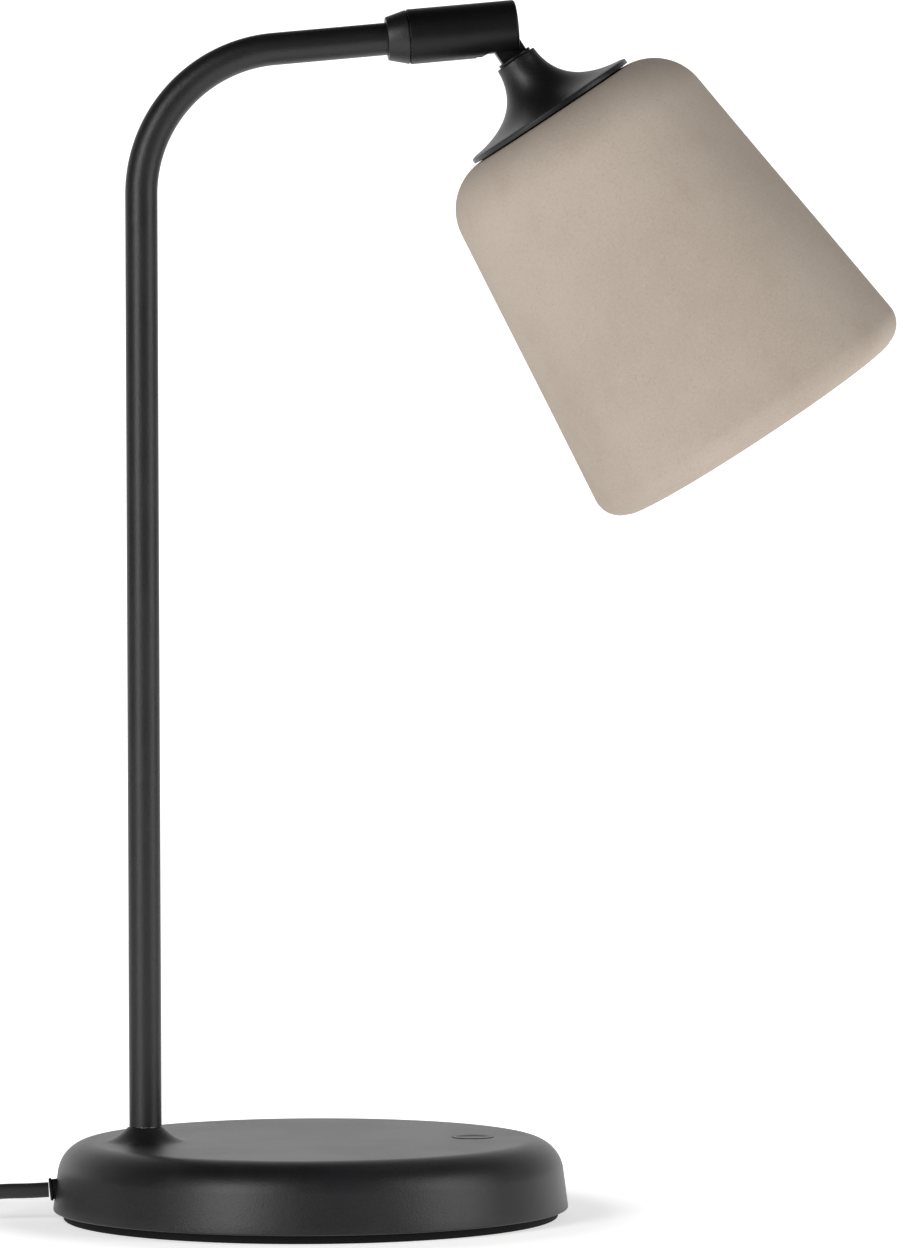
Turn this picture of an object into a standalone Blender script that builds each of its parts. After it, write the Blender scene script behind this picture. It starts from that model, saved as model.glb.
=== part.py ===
"""Table lamp: a weighted round base, a bent pole, a swivelling and tilting joint and a cast shade.

Metres, +Z up. The arm runs along +X from the pole to the shade and lies in the XZ plane. The origin
is the middle of the foot pad's underside. Three frames carry the pieces: the stand stays in world
coordinates, the arm frame has its Z along the arm with 0 at the swivel seam, and the head frame has
its Z back along the shade's axis with 0 at the tilt pivot.
"""

from math import ceil, cos, hypot, pi, radians, sin, sqrt, tan

import bmesh
import bpy
from mathutils import Matrix, Vector

GAP = 0.0003  # clearance between two pieces that touch
LEAD_GAP = 0.0004  # clearance round a wire in its bore

# Base
PAD_INSET = 0.0038  # of the pad's edge from the base's lower edge
PAD_THICKNESS = 0.003
PAD_CHAMFER = 0.0005
BASE_RADIUS = 0.0955  # at the lower edge
BASE_HEIGHT = 0.0256  # of the shell, lower edge to flat top
BASE_FLARE = radians(7.1)  # lean of the side wall
BASE_FILLET = 0.0128
BASE_WALL = 0.003
COVER_THICKNESS = 0.0015
POST_INSET = 0.0122  # of the screw posts from the base's lower edge
POST_RADIUS = 0.0039
POST_ANGLES = (45, 135, 225, 315)
COVER_SCREW_RADIUS = 0.0013
COVER_SCREW_HEAD = 0.0014  # height, and widening, of the countersunk head
COVER_SCREW_LENGTH = 0.0115
BALLAST_ROOM = 0.0008  # between the dimmer's tallest part and the ballast

# Pole
POLE_INSET = 0.0343  # of the pole's axis from the base's lower edge
POLE_RADIUS = 0.006
POLE_WALL = 0.001
POLE_STRAIGHT = 0.3442  # from the foot of the tube to the start of the bend
BEND_RADIUS = 0.054
ARM_RISE = radians(5.2)
ARM_STRAIGHT = 0.050  # from the end of the bend to the swivel seam
BOSS_HEIGHT = 0.0052
BOSS_LEDGE = 0.0005  # width of the boss left round the tube
BOSS_FOOT_RADIUS = 0.0156
BOSS_CURVE = 1.8  # exponent of the flare
NIPPLE_WALL = 0.0015
NIPPLE_GRIP = 0.026  # length of nipple inside the tube
NIPPLE_PAST_NUT = 0.0006
POLE_NUT_FLATS = 0.017
POLE_NUT_THICKNESS = 0.004
POLE_WASHER_RADIUS = 0.010
POLE_WASHER_THICKNESS = 0.001
POLE_LEAD_RADIUS = 0.002

# Button and dimmer
BUTTON_INSET = 0.0351  # of the button's axis from the base's lower edge
BUTTON_RADIUS = 0.0075
BUTTON_TRAVEL = 0.0012
BUTTON_FLANGE = 0.0016  # width and thickness of the flange that holds it in
BUTTON_STEM_RADIUS = 0.0025
GUIDE_WALL = 0.0022
GUIDE_FLOOR = 0.0015
GUIDE_LIP = 0.0018
SPRING_WIRE_RADIUS = 0.0003
SPRING_RADIUS = 0.0045
SPRING_TURNS = 5
BOARD_LENGTH = 0.062
BOARD_WIDTH = 0.040
BOARD_PAST_BUTTON = 0.0156  # of the board's end beyond the button's axis
BOARD_THICKNESS = 0.0016
TRAY_WALL = 0.0025
TRAY_FLOOR = 0.0015
TRAY_HEIGHT = 0.007
TRAY_LEDGE = 0.003
SWITCH_SIDE = 0.007
SWITCH_HEIGHT = 0.0033
PLUNGER_RADIUS = 0.0017
PLUNGER_HEIGHT = 0.001
MODULE_SIZE = (0.024, 0.020, 0.0055)
MODULE_TO_BUTTON = 0.0284
TERMINAL_SIZE = (0.018, 0.018, 0.0105)
TERMINAL_TO_POLE = 0.0312
TERMINAL_BORE_RADIUS = 0.0016
TERMINAL_PITCH = 0.0055
CONTROL_LEAD_RADIUS = 0.0014

# Cord, grommet and clamp
CORD_RADIUS = 0.0028
CORD_EXIT_HEIGHT = 0.0116
CORD_DROOP = radians(6)  # lean of the exit below level
GROMMET_WALL = 0.0006
GROMMET_FLANGE = 0.0005  # how far the flange stands out past the neck
GROMMET_FLANGE_THICKNESS = 0.001
GROMMET_STANDOFF = 0.0013
GROMMET_BACK = 0.0012  # how far the inner lip stands out past the neck, and its thickness
GROMMET_LIP_ROOM = 0.0005  # between the wall and the grommet's inner lip
CLAMP_Y = 0.019
CLAMP_LENGTH = 0.006
CLAMP_WIDTH = 0.017
CLAMP_WALL = 0.00065  # over and under the cord
CLAMP_SCREW_PITCH = 0.013
CLAMP_SCREW_RADIUS = 0.0013
CLAMP_SCREW_HEAD_RADIUS = 0.0022
CLAMP_SCREW_HEAD_HEIGHT = 0.0016
CLAMP_SCREW_BITE = 0.004  # into the ballast

# Swivel, along the arm from the seam
COLLAR_LENGTH = 0.0078
COLLAR_SMALL_RADIUS = 0.0080
COLLAR_INSET = 0.0001  # of the collar's large end from the housing's side
COLLAR_WEB = 0.00285
ARM_BUSH_LENGTH = 0.0145
SWIVEL_NECK_RADIUS = 0.0032
SWIVEL_NECK_LENGTH = 0.0215
SWIVEL_FLANGE_THICKNESS = 0.0072
SWIVEL_NUT_THICKNESS = 0.0025
HOUSING_LEAD_RADIUS = 0.0018
FRICTION_WASHER_THICKNESS = 0.001
STOP_PIN_RADIUS = 0.0007
STOP_CHANNEL = 0.0019  # width of the ring that the stop pin runs in
STOP_PIN_OUT = 0.0016
STOP_RECESS_DEPTH = 0.00185
STOP_LUG_WIDTH = 0.002
HOUSING_RADIUS = 0.0102
HOUSING_PAST_PIVOT = 0.0078
HOUSING_EDGE = 0.001
HOUSING_REAR_WALL = 0.0013
PIVOT_ALONG = 0.0327  # from the seam to the tilt pivot
SLOT_BRIDGE = 0.0032  # metal left over the slot
SLOT_BACK_ROOM = 0.003  # between the tongue's round end and the back of the slot
FLAT_DEPTH = 0.0015  # of the milled flat under the slot
FLAT_START = 0.0258
FLAT_RAMP = 0.0037

# Tilt joint and head, along the shade's axis from the pivot
HEAD_LEAN = radians(33.5)  # of the shade's axis from the vertical
TONGUE_THICKNESS = 0.0056
TONGUE_WIDTH = 0.0104
TILT_PIN_RADIUS = 0.002
TILT_HEAD_RADIUS = 0.0036
TILT_HEAD_THICKNESS = 0.002
TILT_WASHER_THICKNESS = 0.0005
TILT_BLIND_WALL = 0.0025
TILT_SOCKET_RADIUS = 0.0014
TILT_SOCKET_DEPTH = 0.0012
TILT_HEAD_SUNK = 0.0013  # below the housing's side
SWING_CLEARANCE = 0.0002  # between the housing's swinging corner and the disc under it
NECK_SOLID_LENGTH = 0.0062  # of the trumpet's neck, bored to fit the stub
DISC_INSET = 0.0013  # of the disc's edge from the trumpet's top edge
DISC_THICKNESS = 0.0011
STUB_RADIUS = 0.0037
CAP_HEIGHT = 0.0245  # top of the trumpet to the top of the shade
CAP_TOP_RADIUS = 0.00795
CAP_FLANGE_RADIUS = 0.0339
CAP_WALL = 0.002
CAP_BAND = 0.0012  # height of the upright edge of the flange
CAP_GAP = 0.0011  # shadow gap between flange and shade, which holds the gasket
GASKET_INSET = 0.0017  # from the flange's edge
GASKET_INNER_RADIUS = 0.0215
NECK_NUT_FLATS = 0.0104
NECK_NUT_THICKNESS = 0.0034
HEAD_LEAD_RADIUS = 0.0012
SHADE_FLAT_RADIUS = 0.0314
SHADE_SHOULDER = 0.0213
SHADE_TAPER = radians(6.7)
SHADE_HEIGHT = 0.1395
SHADE_RIM = 0.0096
SHADE_WALL = 0.0078
SHADE_TOP_WALL = 0.009
SHADE_HOLE_CLEARANCE = 0.0014  # round the lampholder
HOLDER_RADIUS = 0.0136
HOLDER_WALL = 0.0052
HOLDER_LENGTH = 0.034
HOLDER_CAP_ROOM = 0.0028  # between the neck nut and the lampholder's cap
HOLDER_GRIP = 0.0038  # length of the stub held in the lampholder's cap
SHADE_RING_RADIUS = 0.0205
SHADE_RING_THICKNESS = 0.004
CONTACT_RADIUS = 0.0022
CONTACT_HEIGHT = 0.0022
BULB_CAP_RADIUS = 0.0066
BULB_RADIUS = 0.0225
BULB_BODY_LENGTH = 0.026
BULB_WALL = 0.0012

# Free cord: the hand-chosen route, the coil and the plug
COIL_X = -0.173
COIL_Y = 0.0392
COIL_FIRST_RADIUS = 0.0280  # of the innermost turns' middle
COIL_RINGS = 3
COIL_LAYERS = 3
COIL_LIFT = 0.0014
COIL_SIDES = 36
CORD_ROUTE = (
    (-0.0971, 0.0, 0.01128),
    (-0.1045, 0.0, 0.01098),
    (-0.1150, 0.0, 0.01080),
    (-0.1260, 0.0, 0.00960),
    (-0.1380, 0.0, 0.00700),
    (-0.1510, 0.0, 0.00480),
)
PLUG_ROUTE = (
    (-0.2122, 0.0622, 0.0128),
    (-0.2110, 0.0760, 0.0080),
    (-0.2060, 0.0900, 0.0046),
    (-0.1980, 0.0995, 0.0048),
    (-0.1900, 0.1028, 0.0068),
    (-0.1851, 0.1030, 0.0070),
)
TIE_WALL = 0.001
TIE_WIDTH = 0.008
PLUG_AT = (-0.1846, 0.1030, 0.0070)  # where the cord meets the plug's strain relief
PLUG_RELIEF_LENGTH = 0.018
PLUG_RELIEF_RADII = (0.0036, 0.0048)
PLUG_LENGTH = 0.024
PLUG_WIDTH = 0.026
PLUG_TAIL_WIDTH = 0.013
PLUG_THICKNESS = 0.0136
PLUG_BEVEL = 0.0024
PIN_RADIUS = 0.002
PIN_LENGTH = 0.019
PIN_SEAT = 0.004
PIN_PITCH = 0.0186

# Radii, places and heights worked out from the sizes above
PAD_RADIUS = BASE_RADIUS - PAD_INSET
POST_CIRCLE = BASE_RADIUS - POST_INSET
POLE_X = POLE_INSET - BASE_RADIUS
BUTTON_X = BASE_RADIUS - BUTTON_INSET
BOARD_HIGH = (BUTTON_X + BOARD_PAST_BUTTON, BOARD_WIDTH / 2)
BOARD_LOW = (BOARD_HIGH[0] - BOARD_LENGTH, -BOARD_WIDTH / 2)
MODULE_X = BUTTON_X - MODULE_TO_BUTTON
TERMINAL_X = POLE_X + TERMINAL_TO_POLE
BOSS_TOP_RADIUS = POLE_RADIUS + BOSS_LEDGE
GROMMET_NECK_RADIUS = CORD_RADIUS + GAP + GROMMET_WALL
GROMMET_FLANGE_RADIUS = GROMMET_NECK_RADIUS + GROMMET_FLANGE
GROMMET_BACK_RADIUS = GROMMET_NECK_RADIUS + GROMMET_BACK
CLAMP_HEIGHT = 2 * (CORD_RADIUS + GAP + CLAMP_WALL)
COLLAR_LARGE_RADIUS = HOUSING_RADIUS - COLLAR_INSET
SWIVEL_FLANGE_RADIUS = HOUSING_RADIUS - HOUSING_REAR_WALL - STOP_CHANNEL - GAP
STOP_PIN_REACH = HOUSING_RADIUS - HOUSING_REAR_WALL - STOP_CHANNEL / 2  # from the arm's axis
HOUSING_LENGTH = PIVOT_ALONG + HOUSING_PAST_PIVOT
SWING_RADIUS = hypot(HOUSING_PAST_PIVOT, HOUSING_RADIUS - FLAT_DEPTH)  # of the housing's lower corner
NECK_TOP = SWING_RADIUS + SWING_CLEARANCE + DISC_THICKNESS + GAP  # from the pivot to the trumpet
HOLDER_CAP_HEIGHT = CAP_HEIGHT - NECK_SOLID_LENGTH - GAP - NECK_NUT_THICKNESS - HOLDER_CAP_ROOM
DISC_RADIUS = CAP_TOP_RADIUS - DISC_INSET
GASKET_RADIUS = CAP_FLANGE_RADIUS - GASKET_INSET
SHADE_HOLE_RADIUS = HOLDER_RADIUS + SHADE_HOLE_CLEARANCE
COIL_TURN_RADII = tuple(COIL_FIRST_RADIUS + 2 * CORD_RADIUS * i for i in range(COIL_RINGS))
SHELL_BOTTOM = PAD_THICKNESS + GAP
SHELL_TOP = SHELL_BOTTOM + BASE_HEIGHT
CEILING = SHELL_TOP - BASE_WALL
COVER_BOTTOM = SHELL_BOTTOM
COVER_TOP = COVER_BOTTOM + COVER_THICKNESS
FLOOR_LEVEL = COVER_TOP + GAP
BOARD_BOTTOM = FLOOR_LEVEL + TRAY_FLOOR + TRAY_FLOOR + GAP
BOARD_TOP = BOARD_BOTTOM + BOARD_THICKNESS
SWITCH_TOP = BOARD_TOP + GAP + SWITCH_HEIGHT + PLUNGER_HEIGHT
BALLAST_TOP = CEILING - GAP
BALLAST_BOTTOM = BOARD_TOP + GAP + MODULE_SIZE[2] + BALLAST_ROOM
BALLAST_RADIUS = POST_CIRCLE - POST_RADIUS - GAP
BOSS_TOP = SHELL_TOP + BOSS_HEIGHT
NIPPLE_RADIUS = POLE_RADIUS - POLE_WALL - GAP
NIPPLE_HOLE = NIPPLE_RADIUS + GAP
WASHER_BOTTOM = BALLAST_BOTTOM - GAP - POLE_WASHER_THICKNESS
POLE_NUT_BOTTOM = WASHER_BOTTOM - GAP - POLE_NUT_THICKNESS
NIPPLE_BOTTOM = POLE_NUT_BOTTOM - NIPPLE_PAST_NUT
POLE_FOOT = BOSS_TOP + GAP
BEND_START = POLE_FOOT + POLE_STRAIGHT
BEND_TURN = pi / 2 - ARM_RISE
BEND_END = Vector((POLE_X + BEND_RADIUS * (1 - cos(BEND_TURN)), 0, BEND_START + BEND_RADIUS * sin(BEND_TURN)))
ARM = Vector((cos(ARM_RISE), 0, sin(ARM_RISE)))
SEAM = BEND_END + ARM * ARM_STRAIGHT
TUBE_END = -(COLLAR_WEB + GAP + GAP)  # along the arm from the seam
BORE_RADIUS = SWIVEL_NECK_RADIUS + GAP
BUTTON_HOLE = BUTTON_RADIUS + GAP
GUIDE_RADIUS = BUTTON_RADIUS + BUTTON_FLANGE + GAP
SLOT_HALF = TONGUE_THICKNESS / 2 + GAP
COLLAR_FACE = -GAP / 2
HOUSING_REAR = GAP / 2
HUB_FACE = HOUSING_REAR + FRICTION_WASHER_THICKNESS + GAP
HUB_END = HUB_FACE + SWIVEL_FLANGE_THICKNESS
SLOT_START = PIVOT_ALONG - TONGUE_WIDTH / 2 - SLOT_BACK_ROOM
SHADE_TOP = -(NECK_TOP + CAP_HEIGHT)  # in the head frame
LAYER_PITCH = 2 * CORD_RADIUS
COIL_BOTTOM = COIL_LIFT
COIL_TOP = COIL_BOTTOM + COIL_LAYERS * LAYER_PITCH
COIL_INNER = COIL_TURN_RADII[0] - CORD_RADIUS - GAP
COIL_OUTER = COIL_TURN_RADII[-1] + CORD_RADIUS + GAP

FINISHES = {
    "black_paint": ((0.028, 0.027, 0.029, 1), 0.0, 0.55),
    "joint_black": ((0.014, 0.013, 0.014, 1), 0.0, 0.42),
    "concrete": ((0.41, 0.36, 0.31, 1), 0.0, 0.85),
    "rubber": ((0.012, 0.012, 0.012, 1), 0.0, 0.8),
    "cord_black": ((0.016, 0.016, 0.016, 1), 0.0, 0.6),
    "zinc_steel": ((0.50, 0.50, 0.48, 1), 1.0, 0.35),
    "brass": ((0.70, 0.52, 0.22, 1), 1.0, 0.3),
    "black_plastic": ((0.020, 0.020, 0.020, 1), 0.0, 0.5),
    "white_plastic": ((0.75, 0.75, 0.72, 1), 0.0, 0.45),
    "circuit_board": ((0.03, 0.13, 0.06, 1), 0.0, 0.5),
    "opal": ((0.86, 0.85, 0.80, 1), 0.0, 0.35),
}


def clear_scene():
    for old in list(bpy.data.objects):
        bpy.data.objects.remove(old, do_unlink=True)


def new_collection(name, hidden=False):
    made = bpy.data.collections.new(name)
    bpy.context.scene.collection.children.link(made)
    made.hide_render = hidden
    return made


def new_material(name):
    colour, metallic, roughness = FINISHES[name]
    made = bpy.data.materials.new(name)
    made.use_nodes = True
    shader = made.node_tree.nodes["Principled BSDF"]
    shader.inputs["Base Color"].default_value = colour
    shader.inputs["Metallic"].default_value = metallic
    shader.inputs["Roughness"].default_value = roughness
    return made


def add(name, data, finish, parent=None):
    """Puts a piece in the lamp's collection, or with no finish a cutter in the other one."""
    piece = bpy.data.objects.new(name, data)
    piece.parent = parent
    if finish is None:
        cutters.objects.link(piece)
        piece.hide_render = True
        piece.display_type = "WIRE"
    else:
        lamp.objects.link(piece)
        data.materials.append(materials[finish])
    return piece


def add_axis(name, location, turn_y, parent=None):
    """An empty on a joint's axis, whose children are modelled about it."""
    axis = bpy.data.objects.new(name, None)
    lamp.objects.link(axis)
    axis.parent = parent
    axis.location = location
    axis.rotation_euler = (0, turn_y, 0)
    return axis


def arc(centre, radius, start, end, steps):
    """Points of an arc in (radius, height), its angles measured up from the outward direction."""
    turns = [start + (end - start) * i / steps for i in range(steps + 1)]
    return [(centre[0] + radius * cos(a), centre[1] + radius * sin(a)) for a in turns]


def bezier(a, b, c, d, steps):
    points = []
    for i in range(steps + 1):
        t = i / steps
        weights = ((1 - t) ** 3, 3 * t * (1 - t) ** 2, 3 * t * t * (1 - t), t**3)
        points.append(tuple(sum(w * p[k] for w, p in zip(weights, (a, b, c, d))) for k in (0, 1)))
    return points


def offset(profile, distance):
    """The profile moved to its inner side: down and inwards for one that runs down an outer side."""
    moved = []
    for i, (r, z) in enumerate(profile):
        before = Vector(profile[max(i - 1, 0)])
        after = Vector(profile[min(i + 1, len(profile) - 1)])
        along = (after - before).normalized()
        moved.append((r + along.y * distance, z - along.x * distance))
    return moved


def turned(name, profile, finish, steps, parent=None, at=(0, 0, 0), turn=(0, 0, 0)):
    """A turned piece. Its (radius, height) profile runs down the outer side and closes inside."""
    on_axis = profile[0][0] == 0 and profile[-1][0] == 0
    edges = [(i, i + 1) for i in range(len(profile) - 1)]
    if not on_axis:
        edges.append((len(profile) - 1, 0))
    mesh = bpy.data.meshes.new(name)
    mesh.from_pydata([(r, 0, z) for r, z in profile], edges, [])
    piece = add(name, mesh, finish, parent)
    piece.location = at
    piece.rotation_euler = turn
    screw = piece.modifiers.new("Turned", "SCREW")
    screw.steps = steps
    screw.render_steps = steps
    screw.use_merge_vertices = True
    screw.merge_threshold = 0.00001
    return piece


def disc(radius, low, high, chamfer=0.0):
    """The profile of a solid disc, with its lower edge chamfered if asked."""
    foot = [(radius, low)] if chamfer == 0 else [(radius, low + chamfer), (radius - chamfer, low)]
    return [(0, high), (radius, high), *foot, (0, low)]


def ring(inner, outer, low, high):
    return [(outer, high), (outer, low), (inner, low), (inner, high)]


def box(name, low, high, finish, parent=None):
    size = Vector(high) - Vector(low)
    middle = (Vector(high) + Vector(low)) / 2
    shape = bmesh.new()
    bmesh.ops.create_cube(shape, size=1, matrix=Matrix.Translation(middle) @ Matrix.Diagonal((*size, 1)))
    mesh = bpy.data.meshes.new(name)
    shape.to_mesh(mesh)
    shape.free()
    return add(name, mesh, finish, parent)


def rod(name, start, end, radius, finish, sides=16, parent=None, end_radius=None):
    """A cylinder, or with an end_radius a cone, between two points."""
    start, end = Vector(start), Vector(end)
    along = end - start
    place = Matrix.Translation((start + end) / 2) @ along.to_track_quat("Z", "Y").to_matrix().to_4x4()
    shape = bmesh.new()
    bmesh.ops.create_cone(
        shape,
        cap_ends=True,
        segments=sides,
        radius1=radius,
        radius2=radius if end_radius is None else end_radius,
        depth=along.length,
        matrix=place,
    )
    mesh = bpy.data.meshes.new(name)
    shape.to_mesh(mesh)
    shape.free()
    return add(name, mesh, finish, parent)


def solid_from_curve(name, curve, finish, parent=None):
    """A curve's solid as a mesh with its caps welded on, which a Boolean can take."""
    guide = bpy.data.objects.new(name + "_guide", curve)
    cutters.objects.link(guide)
    graph = bpy.context.evaluated_depsgraph_get()
    mesh = bpy.data.meshes.new_from_object(guide.evaluated_get(graph))
    bpy.data.objects.remove(guide, do_unlink=True)
    shape = bmesh.new()
    shape.from_mesh(mesh)
    bmesh.ops.remove_doubles(shape, verts=shape.verts, dist=0.000005)
    bmesh.ops.recalc_face_normals(shape, faces=shape.faces)
    shape.to_mesh(mesh)
    shape.free()
    mesh.name = name
    return add(name, mesh, finish, parent)


def plate(name, loops, low, high, finish, parent=None, upright=False):
    """A flat outline given thickness: loops in XY from low to high Z, or upright in XZ about Y."""
    curve = bpy.data.curves.new(name, "CURVE")
    curve.dimensions = "2D"
    curve.fill_mode = "BOTH"
    curve.extrude = (high - low) / 2
    for loop in loops:
        spline = curve.splines.new("POLY")
        spline.points.add(len(loop) - 1)
        for point, (x, y) in zip(spline.points, loop):
            point.co = (x, y, 0, 1)
        spline.use_cyclic_u = True
    piece = solid_from_curve(name, curve, finish, parent)
    piece.data.transform(Matrix.Translation((0, 0, (high + low) / 2)))
    if upright:
        piece.data.transform(Matrix.Rotation(pi / 2, 4, "X"))
    return piece


def polygon(radius, sides, centre=(0, 0), start=0.0):
    turns = [start + 2 * pi * i / sides for i in range(sides)]
    return [(centre[0] + radius * cos(a), centre[1] + radius * sin(a)) for a in turns]


def wire(name, points, radius, finish, parent=None, resolution=2, caps=True):
    """A round wire, tube or cord along the points."""
    curve = bpy.data.curves.new(name, "CURVE")
    curve.dimensions = "3D"
    curve.bevel_depth = radius
    curve.bevel_resolution = resolution
    curve.use_fill_caps = caps
    spline = curve.splines.new("POLY")
    spline.points.add(len(points) - 1)
    for point, place in zip(spline.points, points):
        point.co = (*place, 1)
    return add(name, curve, finish, parent)


def smooth_route(route, spacing):
    """Evenly spaced points on the smooth curve through the route's own points."""
    knots = [Vector(p) for p in route]
    knots = [2 * knots[0] - knots[1], *knots, 2 * knots[-1] - knots[-2]]
    fine = []
    for a, b, c, d in zip(knots, knots[1:], knots[2:], knots[3:]):
        for i in range(20):
            t = i / 20
            pull = (2 * b, c - a, 2 * a - 5 * b + 4 * c - d, 3 * b - a - 3 * c + d)
            fine.append((pull[0] + pull[1] * t + pull[2] * t * t + pull[3] * t**3) / 2)
    fine.append(knots[-2])
    lengths = [(q - p).length for p, q in zip(fine, fine[1:])]
    count = max(2, ceil(sum(lengths) / spacing))
    step = sum(lengths) / count
    even, walked, wanted = [fine[0]], 0.0, step
    for p, q, length in zip(fine, fine[1:], lengths):
        while wanted <= walked + length and len(even) < count:
            even.append(p.lerp(q, (wanted - walked) / length))
            wanted += step
        walked += length
    return [*even, fine[-1]]


def combine(piece, other, operation):
    modifier = piece.modifiers.new(f"{operation.title()} {other.name}", "BOOLEAN")
    modifier.operation = operation
    modifier.object = other


def cut(piece, *others):
    for other in others:
        combine(piece, other, "DIFFERENCE")


def join(piece, *others):
    for other in others:
        combine(piece, other, "UNION")


def shell_fillet_middle():
    height = SHELL_TOP - BASE_FILLET
    reach = (BASE_FILLET + sin(BASE_FLARE) * (height - SHELL_BOTTOM)) / cos(BASE_FLARE)
    return BASE_RADIUS - reach, height


def wall_radius(height, inset=0.0):
    """Radius of the base's side wall at a height, or of a surface set in from it."""
    return BASE_RADIUS - (height - SHELL_BOTTOM) * tan(BASE_FLARE) - inset / cos(BASE_FLARE)


def inner_radius(height):
    """Radius of the base's inner side at a height, its fillet included."""
    middle, level = shell_fillet_middle()
    fillet = BASE_FILLET - BASE_WALL
    if height <= level + fillet * sin(BASE_FLARE):
        return wall_radius(height, BASE_WALL)
    return middle + sqrt(max(0, fillet**2 - (height - level) ** 2))


def post_places():
    return [(POST_CIRCLE * cos(radians(a)), POST_CIRCLE * sin(radians(a))) for a in POST_ANGLES]


def make_base():
    turned("foot_pad", disc(PAD_RADIUS, 0, PAD_THICKNESS, PAD_CHAMFER), "rubber", 44)

    middle = shell_fillet_middle()
    outer = arc(middle, BASE_FILLET, pi / 2, BASE_FLARE, 6)
    inner = arc(middle, BASE_FILLET - BASE_WALL, BASE_FLARE, pi / 2, 3)
    rim = [(BASE_RADIUS, SHELL_BOTTOM), (wall_radius(SHELL_BOTTOM, BASE_WALL), SHELL_BOTTOM)]
    shell = turned("base_shell", [(0, SHELL_TOP), *outer, *rim, *inner, (0, CEILING)], "black_paint", 44)

    flare = []
    for i in range(8):
        out = i / 7
        radius = BOSS_TOP_RADIUS + (BOSS_FOOT_RADIUS - BOSS_TOP_RADIUS) * out
        flare.append((radius, SHELL_TOP - 0.00004 + (BOSS_HEIGHT + 0.00004) * (1 - out) ** BOSS_CURVE))
    root = SHELL_TOP - BASE_WALL / 2
    boss = [(0, BOSS_TOP), *flare, (BOSS_FOOT_RADIUS, root), (0, root)]
    join(shell, turned("boss_core", boss, None, 24, at=(POLE_X, 0, 0)))
    post_foot = COVER_TOP + GAP
    for i, (x, y) in enumerate(post_places(), 1):
        join(shell, rod(f"post_core_{i}", (x, y, post_foot), (x, y, CEILING - 0.001), POST_RADIUS, None, 12))
    cut(shell, rod("nipple_cut", (POLE_X, 0, CEILING - 0.002), (POLE_X, 0, BOSS_TOP + 0.002), NIPPLE_HOLE, None, 20))
    cut(shell, rod("button_cut", (BUTTON_X, 0, CEILING - 0.002), (BUTTON_X, 0, SHELL_TOP + 0.002), BUTTON_HOLE, None, 28))
    start = grommet_point(-grommet_depth() - 0.002)
    cut(shell, rod("grommet_cut", start, grommet_point(0.004), GROMMET_NECK_RADIUS + GAP, None, 20))
    pilot = COVER_SCREW_RADIUS + GAP
    for i, (x, y) in enumerate(post_places(), 1):
        end = COVER_BOTTOM + COVER_SCREW_LENGTH + 0.001
        cut(shell, rod(f"pilot_cut_{i}", (x, y, post_foot - 0.001), (x, y, end), pilot, None, 8))


def make_cover():
    radius = wall_radius(COVER_BOTTOM, BASE_WALL) - GAP - COVER_THICKNESS * tan(BASE_FLARE)
    cover = turned("bottom_cover", disc(radius, COVER_BOTTOM, COVER_TOP), "zinc_steel", 40)
    head = COVER_SCREW_RADIUS + COVER_SCREW_HEAD
    low, high = COVER_BOTTOM - GAP, COVER_TOP + GAP
    seat = COVER_BOTTOM + GAP / 2  # the head sits this far inside the cover
    clear = 1.5 * GAP
    for i, (x, y) in enumerate(post_places(), 1):
        top_radius = head + clear - (high - seat)
        sink = rod(f"sink_cut_{i}", (x, y, low), (x, y, high), head + clear + seat - low, None, 12, None, top_radius)
        cut(cover, sink)
        profile = [
            (0, COVER_BOTTOM + COVER_SCREW_LENGTH),
            (COVER_SCREW_RADIUS, COVER_BOTTOM + COVER_SCREW_LENGTH),
            (COVER_SCREW_RADIUS, seat + COVER_SCREW_HEAD),
            (head, seat),
            (0, seat),
        ]
        turned(f"cover_screw_{i}", profile, "zinc_steel", 12, at=(x, y, 0))


def make_ballast():
    plate_piece = turned("ballast_plate", disc(BALLAST_RADIUS, BALLAST_BOTTOM, BALLAST_TOP), "zinc_steel", 40)
    low, high = BALLAST_BOTTOM - 0.002, BALLAST_TOP + 0.002
    cut(plate_piece, rod("ballast_pole_cut", (POLE_X, 0, low), (POLE_X, 0, high), NIPPLE_HOLE, None, 16))
    hole = GUIDE_RADIUS + GUIDE_WALL + GAP
    cut(plate_piece, rod("ballast_button_cut", (BUTTON_X, 0, low), (BUTTON_X, 0, high), hole, None, 24))
    for i, y in enumerate(clamp_screw_places(), 1):
        end = BALLAST_BOTTOM + CLAMP_SCREW_BITE + GAP
        hole = CLAMP_SCREW_RADIUS + GAP
        cut(plate_piece, rod(f"clamp_hole_cut_{i}", (POLE_X, y, low), (POLE_X, y, end), hole, None, 8))


def clamp_screw_places():
    return (CLAMP_Y - CLAMP_SCREW_PITCH / 2, CLAMP_Y + CLAMP_SCREW_PITCH / 2)


def grommet_origin():
    """Where the cord's axis leaves the base's side wall."""
    return Vector((-wall_radius(CORD_EXIT_HEIGHT), 0, CORD_EXIT_HEIGHT))


def grommet_point(along):
    return grommet_origin() + Vector((-cos(CORD_DROOP), 0, -sin(CORD_DROOP))) * along


def grommet_depth():
    """How far inside the side wall the grommet's inner lip starts, so that its top clears the wall."""
    lip_top = CORD_EXIT_HEIGHT + GROMMET_BACK_RADIUS * cos(CORD_DROOP)
    wall = wall_radius(CORD_EXIT_HEIGHT) - inner_radius(lip_top)
    return (wall + GROMMET_BACK_RADIUS * sin(CORD_DROOP) + GROMMET_LIP_ROOM) / cos(CORD_DROOP)


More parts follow.
